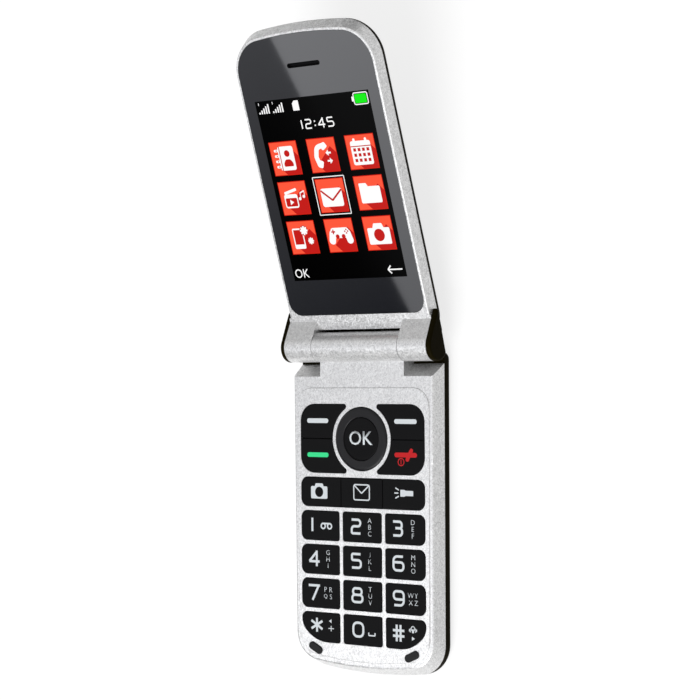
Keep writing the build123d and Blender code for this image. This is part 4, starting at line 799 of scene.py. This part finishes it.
# ---------------- display
@dataclass
class Display:
    """The picture on the open lid's display: a menu of nine tiles under a status row."""

    lean: float = 19.4
    axis_y: float = 48.455
    axis_z: float = 9.3
    window_face: float = -1.4
    width: float = 43.2
    foot: float = 21.6
    head: float = 79.2
    tile: float = 10.7
    tile_edge: float = 0.22
    tiles_right: float = 0.05
    column_pitch: float = 14.6
    row_pitch: float = 12.65
    middle_row: float = 48.2
    layer_height: float = 0.012
    frame_size: float = 11.9
    frame_pen: float = 0.28
    status_up: float = 76.85
    meters: Point = (-20.4, -15.0)
    clock: tuple[tuple[str, float], ...] = (("1", -5.4), ("2", -2.9), ("4", 2.1), ("5", 5.5))
    title_up: float = 70.8
    title_height: float = 3.1
    title_pen: float = 0.42
    label_up: float = 24.0
    label_height: float = 2.85
    ok_right: float = -18.0
    ok_width: float = 5.5
    back_right: float = 17.8
    drawings: dict[Layer, Drawing] = field(default_factory=dict)

    def __post_init__(self) -> None:
        """Start one drawing for each layer."""
        for order, layer in enumerate(Layer, 1):
            self.drawings[layer] = Drawing(self.layer_height / 2, order * self.layer_height, 0.0)

    def surface(self) -> Matrix:
        """Return the matrix from the window's millimetres, across and up the lid, to the frame."""
        return (Matrix.Translation((0, self.axis_y * MM, self.axis_z * MM))
                @ Matrix.Rotation(math.radians(self.lean), 4, "X")
                @ Matrix.Translation((0, 0, self.window_face * MM))
                @ Matrix.Diagonal((MM, MM, MM, 1)))

    def pens(self, *layers: Layer) -> list[Drawing]:
        """Return the drawings of some layers."""
        return [self.drawings[layer] for layer in layers]

    def tile_centre(self, column: int, row: int) -> Point:
        """Return the middle of a tile, with columns and rows of -1, 0 and 1."""
        return self.tiles_right + column * self.column_pitch, self.middle_row + row * self.row_pitch

    def tiles(self) -> None:
        """Draw the nine tiles, their long shadows and the frame round the chosen one."""
        ground, edge, tile, shade, mark = self.pens(
            Layer.GROUND, Layer.EDGE, Layer.TILE, Layer.SHADE, Layer.MARK)
        ground.box(self.width, self.head - self.foot, (0, (self.head + self.foot) / 2))
        half = self.tile / 2 - self.tile_edge
        shadow = ((-2.6, -3.0), (-0.4, -half), (half, -half), (half, 0.6), (3.2, 2.6))
        for column in (-1, 0, 1):
            for row in (-1, 0, 1):
                centre = self.tile_centre(column, row)
                edge.box(self.tile, self.tile, centre)
                tile.box(2 * half, 2 * half, centre)
                shade.plate(shadow, centre=centre)
        mark.line(rectangle(self.frame_size, self.frame_size), self.frame_pen, (0.16,), True,
                  self.tile_centre(0, 0))

    def glyphs(self) -> None:
        """Draw one plain sign on each tile."""
        signs = {1: (self.contacts, self.calls, self.calendar),
                 0: (self.media, self.messages, self.folder),
                 -1: (self.settings, self.games, self.camera)}
        for row, signs_across in signs.items():
            for column, draw in enumerate(signs_across, -1):
                x, y = self.tile_centre(column, row)
                draw(lambda across, up, x=x, y=y: (x + across, y + up))

    def contacts(self, at: Place) -> None:
        """Draw an address book with a plain figure on its cover."""
        mark, detail = self.pens(Layer.MARK, Layer.DETAIL)
        mark.box(5.9, 7.6, at(0.6, 0.0), 0.7)
        for place in range(4):
            mark.box(1.6, 0.8, at(-3.05, 2.55 - place * 1.7), 0.38)
            detail.disc(0.22, at(-2.9, 2.55 - place * 1.7))
        detail.box(0.32, 7.6, at(-1.75, 0.0))
        detail.disc(1.05, at(0.95, 1.5))
        detail.plate(((-1.8, -1.5), (1.8, -1.5), (1.8, -0.4), (0.9, 0.75), (-0.9, 0.75),
                      (-1.8, -0.4)), 0.4, at(0.95, -1.1))

    def calls(self, at: Place) -> None:
        """Draw a handset and two arrows."""
        mark = self.drawings[Layer.MARK]
        mark.line(((0.9, 2.9), (-1.9, 2.3), (-2.6, -0.6), (-1.9, -3.3)), 1.6, (1.6,),
                  centre=at(0, 0.2))
        mark.box(2.3, 1.9, at(0.75, 2.75), 0.5, 35)
        mark.box(2.3, 1.9, at(-1.45, -2.75), 0.5, 70)
        for side, up in ((-1, 0.6), (1, -1.9)):
            mark.line(((-0.9 * side, 0), (0.5 * side, 0)), 0.55, centre=at(2.2, up))
            mark.plate(((1.1 * side, 0), (0.05 * side, 0.95 * side), (0.05 * side, -0.95 * side)),
                       centre=at(2.2, up))

    def calendar(self, at: Place) -> None:
        """Draw a wall calendar."""
        mark, detail = self.pens(Layer.MARK, Layer.DETAIL)
        mark.box(7.4, 7.4, at(0, -0.3), 0.7)
        detail.box(7.4, 0.3, at(0, 1.75))
        for side in (-1, 1):
            mark.box(0.85, 1.5, at(side * 2.15, 3.5), 0.4)
        for column in range(4):
            for row in range(3):
                detail.box(1.0, 1.0, at(-2.45 + column * 1.63, 0.7 - row * 1.63))

    def media(self, at: Place) -> None:
        """Draw a player's screen and a pair of notes."""
        mark, detail, front = self.pens(Layer.MARK, Layer.DETAIL, Layer.FRONT)
        mark.box(5.2, 4.4, at(-1.2, -0.9), 0.8)
        detail.box(4.4, 2.7, at(-1.2, -1.25), 0.4)
        front.plate(((0.85, 0), (-0.55, 0.85), (-0.55, -0.85)), centre=at(-1.2, -1.25))
        mark.box(4.9, 0.9, at(-1.0, 2.2), 0.2, 14)
        for across, up in ((2.25, -0.3), (3.85, 0.35)):
            mark.disc(0.5, at(across, up))
            mark.box(0.26, 1.9, at(across + 0.38, up + 0.95))
        mark.line(((0, 0), (1.6, 0.65)), 0.42, centre=at(2.63, 1.5))

    def messages(self, at: Place) -> None:
        """Draw a sealed envelope."""
        mark, detail = self.pens(Layer.MARK, Layer.DETAIL)
        mark.box(8.0, 5.8, at(0, -0.6), 0.8)
        detail.line(((-3.9, 2.3), (0, -0.9), (3.9, 2.3)), 0.6, (0.3,), centre=at(0, -0.6))

    def folder(self, at: Place) -> None:
        """Draw a folder with its tab."""
        mark = self.drawings[Layer.MARK]
        mark.box(7.6, 5.2, at(0, -0.6), 0.5)
        mark.plate(((-1.7, 0), (1.7, 0), (1.0, 1.3), (-1.7, 1.3)), 0.25, at(-2.1, 1.75))

    def settings(self, at: Place) -> None:
        """Draw a handset outline with two cog wheels."""
        mark, detail, front = self.pens(Layer.MARK, Layer.DETAIL, Layer.FRONT)
        mark.box(4.2, 6.6, at(-1.6, -0.3), 0.5)
        detail.box(3.4, 4.7, at(-1.6, 0.15))
        for (across, up), size in (((0.9, 2.2), 1.45), ((2.9, -1.2), 1.1)):
            detail.disc(size + 0.2, at(across, up))
            for tooth in range(4):
                front.box(2 * size, 0.42 * size, at(across, up), turn=45 * tooth)
            front.disc(size * 0.75, at(across, up), size * 0.42)

    def games(self, at: Place) -> None:
        """Draw a game pad."""
        mark, detail = self.pens(Layer.MARK, Layer.DETAIL)
        mark.box(7.0, 3.3, at(0, 0.8), 1.1)
        for side in (-1, 1):
            mark.box(2.4, 4.6, at(side * 3.1, -0.5), 1.1, side * 14)
            detail.disc(0.72, at(side * 1.15, -0.35))
        for turn in (0, 90):
            detail.box(1.5, 0.45, at(-2.5, 1.2), turn=turn)
        for across, up in ((2.5, 1.75), (2.5, 0.65), (1.95, 1.2), (3.05, 1.2)):
            detail.disc(0.27, at(across, up))

    def camera(self, at: Place) -> None:
        """Draw a stills camera."""
        mark, detail = self.pens(Layer.MARK, Layer.DETAIL)
        mark.box(8.2, 5.2, at(0, -0.9), 0.45)
        mark.plate(((-2.1, 0), (2.1, 0), (1.5, 1.5), (-1.5, 1.5)), 0.25, at(0, 1.6))
        detail.disc(1.95, at(0, -0.6))

    def status_row(self) -> None:
        """Draw two signal meters, a card and the battery above the tiles."""
        mark, charge = self.pens(Layer.MARK, Layer.CHARGE)
        for left in self.meters:
            for step in range(5):
                height = 0.55 + step * 0.6
                mark.box(0.5, height, (left + step * 0.9, 75.2 + height / 2))
            mark.box(0.22, 0.75, (left + 0.1, 78.3))
        mark.plate(((-1.2, -1.55), (1.2, -1.55), (1.2, 1.55), (-0.4, 1.55), (-1.2, 0.75)), 0.12,
                   (-6.2, self.status_up - 0.05))
        cell = (18.35, self.status_up)
        mark.line(rectangle(5.1, 3.5), 0.32, (0.55,), True, cell)
        mark.box(0.6, 1.5, (cell[0] - 3.0, self.status_up), 0.2)
        charge.box(4.3, 2.75, cell, 0.35)

    def words(self) -> None:
        """Draw the clock and the labels of the two soft keys."""
        mark = self.drawings[Layer.MARK]
        for figure, across in self.clock:
            FIGURES[figure].draw(mark, self.title_height, self.title_pen, (across, self.title_up),
                                 self.title_height / FIGURE_HEIGHT)
        for up in (-0.65, 0.65):
            mark.box(0.45, 0.45, (-0.4, self.title_up + up))
        mark.letters("OK", self.label_height, (self.ok_right, self.label_up), self.ok_width)
        mark.line(((-2.6, 0), (2.6, 0)), self.title_pen, centre=(self.back_right, self.label_up))
        mark.line(((1.2, 1.25), (0, 0), (1.2, -1.25)), self.title_pen, (0.22,),
                  centre=(self.back_right - 2.7, self.label_up))

    def build(self) -> None:
        """Draw the picture and lay its layers on the window."""
        self.tiles()
        self.glyphs()
        self.status_row()
        self.words()
        for layer, drawing in self.drawings.items():
            drawing.piece(layer.value.name, self.surface(), layer.value, "lid", "display")


# ---------------- casework
@dataclass
class Casework:
    """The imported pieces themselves, each in the finish of its real material."""

    finishes: dict[str, Finish] = field(default_factory=lambda: dict(SLOT_FINISHES))
    exceptions: dict[str, Finish] = field(default_factory=lambda: dict(NODE_FINISHES))

    def build(self) -> None:
        """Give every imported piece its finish."""
        for name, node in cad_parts.items():
            slot = node.material_slots[0]
            finish = self.exceptions.get(name) or self.finishes[slot.material.name]
            slot.material = finish.material()
            log.info("%s in %s", name, finish.name)


# ---------------- studio
@dataclass(frozen=True)
class Card:
    """A card that only reflections show, and whose brightness runs evenly along it.

    It goes from the first to the last level over its span, and over as long again to the share of
    the last one that is given for what lies beyond.
    """

    name: str
    colour: str
    first: float
    last: float
    beyond: float = 1.0
    shades: bool = False

    def material(self, along: Vector, span: Point) -> bpy.types.Material:
        """Return the card's material.

        Args:
            along: direction of the run of brightness.
            span: places along it at which the run begins and ends.

        Returns:
            A material that shines at the levels of the run.
        """
        made = bpy.data.materials.new(self.name)
        tree = empty_tree(made)
        here = add_node(tree, "ShaderNodeTexCoord").outputs["Object"]
        up = add_node(tree, "ShaderNodeVectorMath", {1: along}, {0: here}, operation="DOT_PRODUCT")
        start, end = span
        level, share = (
            add_node(tree, "ShaderNodeMapRange",
                     {"From Min": low, "From Max": high, "To Min": first, "To Max": last},
                     {"Value": up.outputs["Value"]}).outputs["Result"]
            for low, high, first, last in ((start, end, self.first, self.last),
                                           (end, 2 * end - start, 1.0, self.beyond)))
        faded = add_node(tree, "ShaderNodeMath", links={0: level, 1: share}, operation="MULTIPLY")
        glow = add_node(tree, "ShaderNodeEmission", {"Color": linear(self.colour)},
                        {"Strength": faded.outputs[0]})
        add_node(tree, "ShaderNodeOutputMaterial", links={"Surface": glow.outputs[0]})
        return made

    def hang(self, edge: Vector, along: Vector, away: Vector, half: float, span: Point) -> None:
        """Hang the card in the studio.

        Args:
            edge: middle of its inner edge, in metres.
            along: direction of that edge, and of the run of brightness.
            away: direction from that edge over the card.
            half: half its size.
            span: places along it at which the run begins and ends.
        """
        card = bmesh.new()
        bmesh.ops.create_grid(card, x_segments=1, y_segments=1, size=half)
        place = upright((along, away, along.cross(away)), edge + away * half)
        bmesh.ops.transform(card, matrix=place, verts=card.verts[:])
        mesh = as_mesh(self.name, card)
        mesh.materials.append(self.material(along, span))
        made = add_object(self.name, mesh)
        made.visible_camera = made.visible_shadow = made.visible_transmission = False
        made.visible_diffuse = self.shades
        made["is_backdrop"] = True


@dataclass(frozen=True)
class Screen:
    """A card that stands upright beside the phone: its middle, which way it runs, and its top.

    Its brightness runs from the floor to the top, which is given in metres.
    """

    card: Card
    middle: Triple
    away: Triple
    top: float


@dataclass
class Studio:
    """A pale floor, plain soft light, the cards that the phone mirrors, and the camera."""

    eye: Triple = (374.26, 41.2, 512.42)
    looks_at: Triple = (-11.64, 47.59, 0.0)
    upwards: Triple = (0.0128, 0.9999, 0.0028)
    lens: float = 104.17
    sensor: float = 36.0
    sight: Point = (0.05, 50.0)
    floor_radius: float = 6000.0
    floor_colour: str = "#909090"
    floor_glow: float = 0.78
    fill: float = 0.35
    sun_from: Triple = (0.0, -0.8, 0.6)
    sun_strength: float = 3.1
    sun_width: float = 40.0
    spot_at: Triple = (-380.0, -140.0, 484.0)
    spot_towards: Triple = (-13.0, -67.0, 10.0)
    spot_power: float = 0.55
    spot_cone: float = 18.5
    spot_blend: float = 0.5
    spot_radius: float = 30.0
    flag_edge: tuple[Point, Point] = ((-9.7, 97.0), (19.7, 10.5))
    flag_distance: float = 900.0
    edge_cards: tuple[Card, Card] = (Card("dark_flag", "#FAFBFF", 0.0, 0.4, 2.0),
                                     Card("bright_card", "#FAFBFF", 1.2, 1.85, 0.5))
    edge_card_half: float = 700.0
    screens: tuple[Screen, Screen] = (
        Screen(Card("dark_screen", "#FFFFFF", 0.0, 1.15, shades=True),
               (-420.0, 930.0, 550.0), (0.911, 0.412, 0.0), 1.1),
        Screen(Card("low_screen", "#FFFFFF", 0.0, 1.0),
               (-650.0, -760.0, 100.0), (0.76, -0.65, 0.0), 0.6))
    screen_half: float = 750.0

    def camera(self) -> None:
        """Set up the camera."""
        data = bpy.data.cameras.new("camera")
        data.lens, data.sensor_width = self.lens, self.sensor
        data.clip_start, data.clip_end = self.sight
        camera = add_object("camera", data)
        eye = Vector(self.eye) * MM
        ahead = (Vector(self.looks_at) * MM - eye).normalized()
        right = ahead.cross(Vector(self.upwards)).normalized()
        camera.matrix_world = upright((right, right.cross(ahead), -ahead), eye)
        bpy.context.scene.camera = camera

    def seen_directly(self, tree: bpy.types.NodeTree) -> bpy.types.NodeSocket:
        """Return a socket that is 1 for rays from the camera, from gloss and through glass."""
        path = add_node(tree, "ShaderNodeLightPath").outputs
        either = add_node(tree, "ShaderNodeMath",
                          links={0: path["Is Camera Ray"], 1: path["Is Glossy Ray"]},
                          operation="MAXIMUM")
        return add_node(tree, "ShaderNodeMath",
                        links={0: either.outputs[0], 1: path["Is Transmission Ray"]},
                        operation="MAXIMUM").outputs[0]

    def floor(self) -> None:
        """Lay a pale floor that shows white and keeps the shadow."""
        disc = bmesh.new()
        bmesh.ops.create_circle(disc, cap_ends=True, segments=64, radius=self.floor_radius * MM)
        mesh = as_mesh("floor", disc)
        paper = bpy.data.materials.new("matt_white_paper")
        tree = empty_tree(paper)
        dull = add_node(tree, "ShaderNodeBsdfDiffuse", {"Color": linear(self.floor_colour)})
        glow = add_node(tree, "ShaderNodeEmission", {"Strength": self.floor_glow})
        none = add_node(tree, "ShaderNodeEmission", {"Strength": 0.0})
        shown = add_node(tree, "ShaderNodeMixShader", links={
            0: self.seen_directly(tree), 1: none.outputs[0], 2: glow.outputs[0]})
        both = add_node(tree, "ShaderNodeAddShader",
                        links={0: dull.outputs[0], 1: shown.outputs[0]})
        add_node(tree, "ShaderNodeOutputMaterial", links={"Surface": both.outputs[0]})
        mesh.materials.append(paper)
        add_object("floor", mesh)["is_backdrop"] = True

    def hang_lamp(self, lamp: bpy.types.Light, ray: Vector, place: Vector) -> None:
        """Hang a lamp in the studio.

        Args:
            lamp: its settings.
            ray: direction from what it lights to the lamp.
            place: its place, in metres.
        """
        hung = add_object(lamp.name, lamp)
        hung.location = place
        hung.rotation_mode = "QUATERNION"
        hung.rotation_quaternion = ray.to_track_quat("Z", "Y")

    def light(self) -> None:
        """Light the room evenly, with a broad lamp at the bottom end and a spot on lower keys."""
        world = bpy.data.worlds.new("studio")
        bpy.context.scene.world = world
        tree = empty_tree(world)
        level = add_node(tree, "ShaderNodeMapRange", {"To Min": self.fill, "To Max": 1.0},
                         {"Value": self.seen_directly(tree)})
        sky = add_node(tree, "ShaderNodeBackground", {"Color": (1.0, 1.0, 1.0, 1.0)},
                       {"Strength": level.outputs["Result"]})
        add_node(tree, "ShaderNodeOutputWorld", links={"Surface": sky.outputs[0]})
        lamp = bpy.data.lights.new("broad_lamp", "SUN")
        lamp.energy = self.sun_strength
        lamp.angle = math.radians(self.sun_width)
        self.hang_lamp(lamp, Vector(self.sun_from), Vector())
        beam = bpy.data.lights.new("spot_lamp", "SPOT")
        beam.energy = self.spot_power
        beam.spot_size = math.radians(self.spot_cone)
        beam.spot_blend = self.spot_blend
        beam.shadow_soft_size = self.spot_radius * MM
        at = Vector(self.spot_at)
        self.hang_lamp(beam, at - Vector(self.spot_towards), at * MM)

    def cards(self, window: Matrix) -> None:
        """Hang the two cards that the window mirrors, edge to edge, and the upright screens.

        Args:
            window: from the window's millimetres to the frame.
        """
        out = (window.to_3x3() @ Vector((0, 0, 1))).normalized()
        eye = Vector(self.eye) * MM
        behind = eye - 2 * (eye - window.translation).dot(out) * out
        ends = []
        for across, up in self.flag_edge:
            ray = (window @ Vector((across, up, 0)) - behind).normalized()
            ends.append(behind + ray * ((eye - behind).length / 2 + self.flag_distance * MM))
        middle = (ends[0] + ends[1]) / 2
        along = (ends[0] - ends[1]).normalized()
        away = along.cross((middle - behind).normalized())
        if away.x > 0:
            away.negate()
        span = (ends[1].dot(along), ends[0].dot(along))
        for card, side in zip(self.edge_cards, (away, -away)):
            card.hang(middle, along, side, self.edge_card_half * MM, span)
        half = self.screen_half * MM
        for screen in self.screens:
            side = Vector(screen.away)
            edge = Vector(screen.middle) * MM - side * half
            screen.card.hang(edge, Vector((0, 0, 1)), side, half, (0.0, screen.top))

    def build(self, window: Matrix) -> None:
        """Set up the whole studio.

        Args:
            window: from the window's millimetres to the frame.
        """
        bpy.context.scene.view_settings.view_transform = "Standard"
        self.camera()
        self.floor()
        self.light()
        self.cards(window)


def main() -> None:
    """Build the phone's looks round the frame, and report each part."""
    logging.basicConfig(level=logging.INFO, format="%(name)s: %(message)s")
    display = Display()
    Studio().build(display.surface())
    log.info("studio ready")
    for part in (Casework(), Keypad(), display):
        earlier = set(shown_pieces())
        part.build()
        log.info("%s ready", type(part).__name__)
        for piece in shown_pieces():
            if piece not in earlier:
                log.info("%s: %d faces", piece.name, len(piece.data.polygons))


if __name__ == "__main__":
    main()
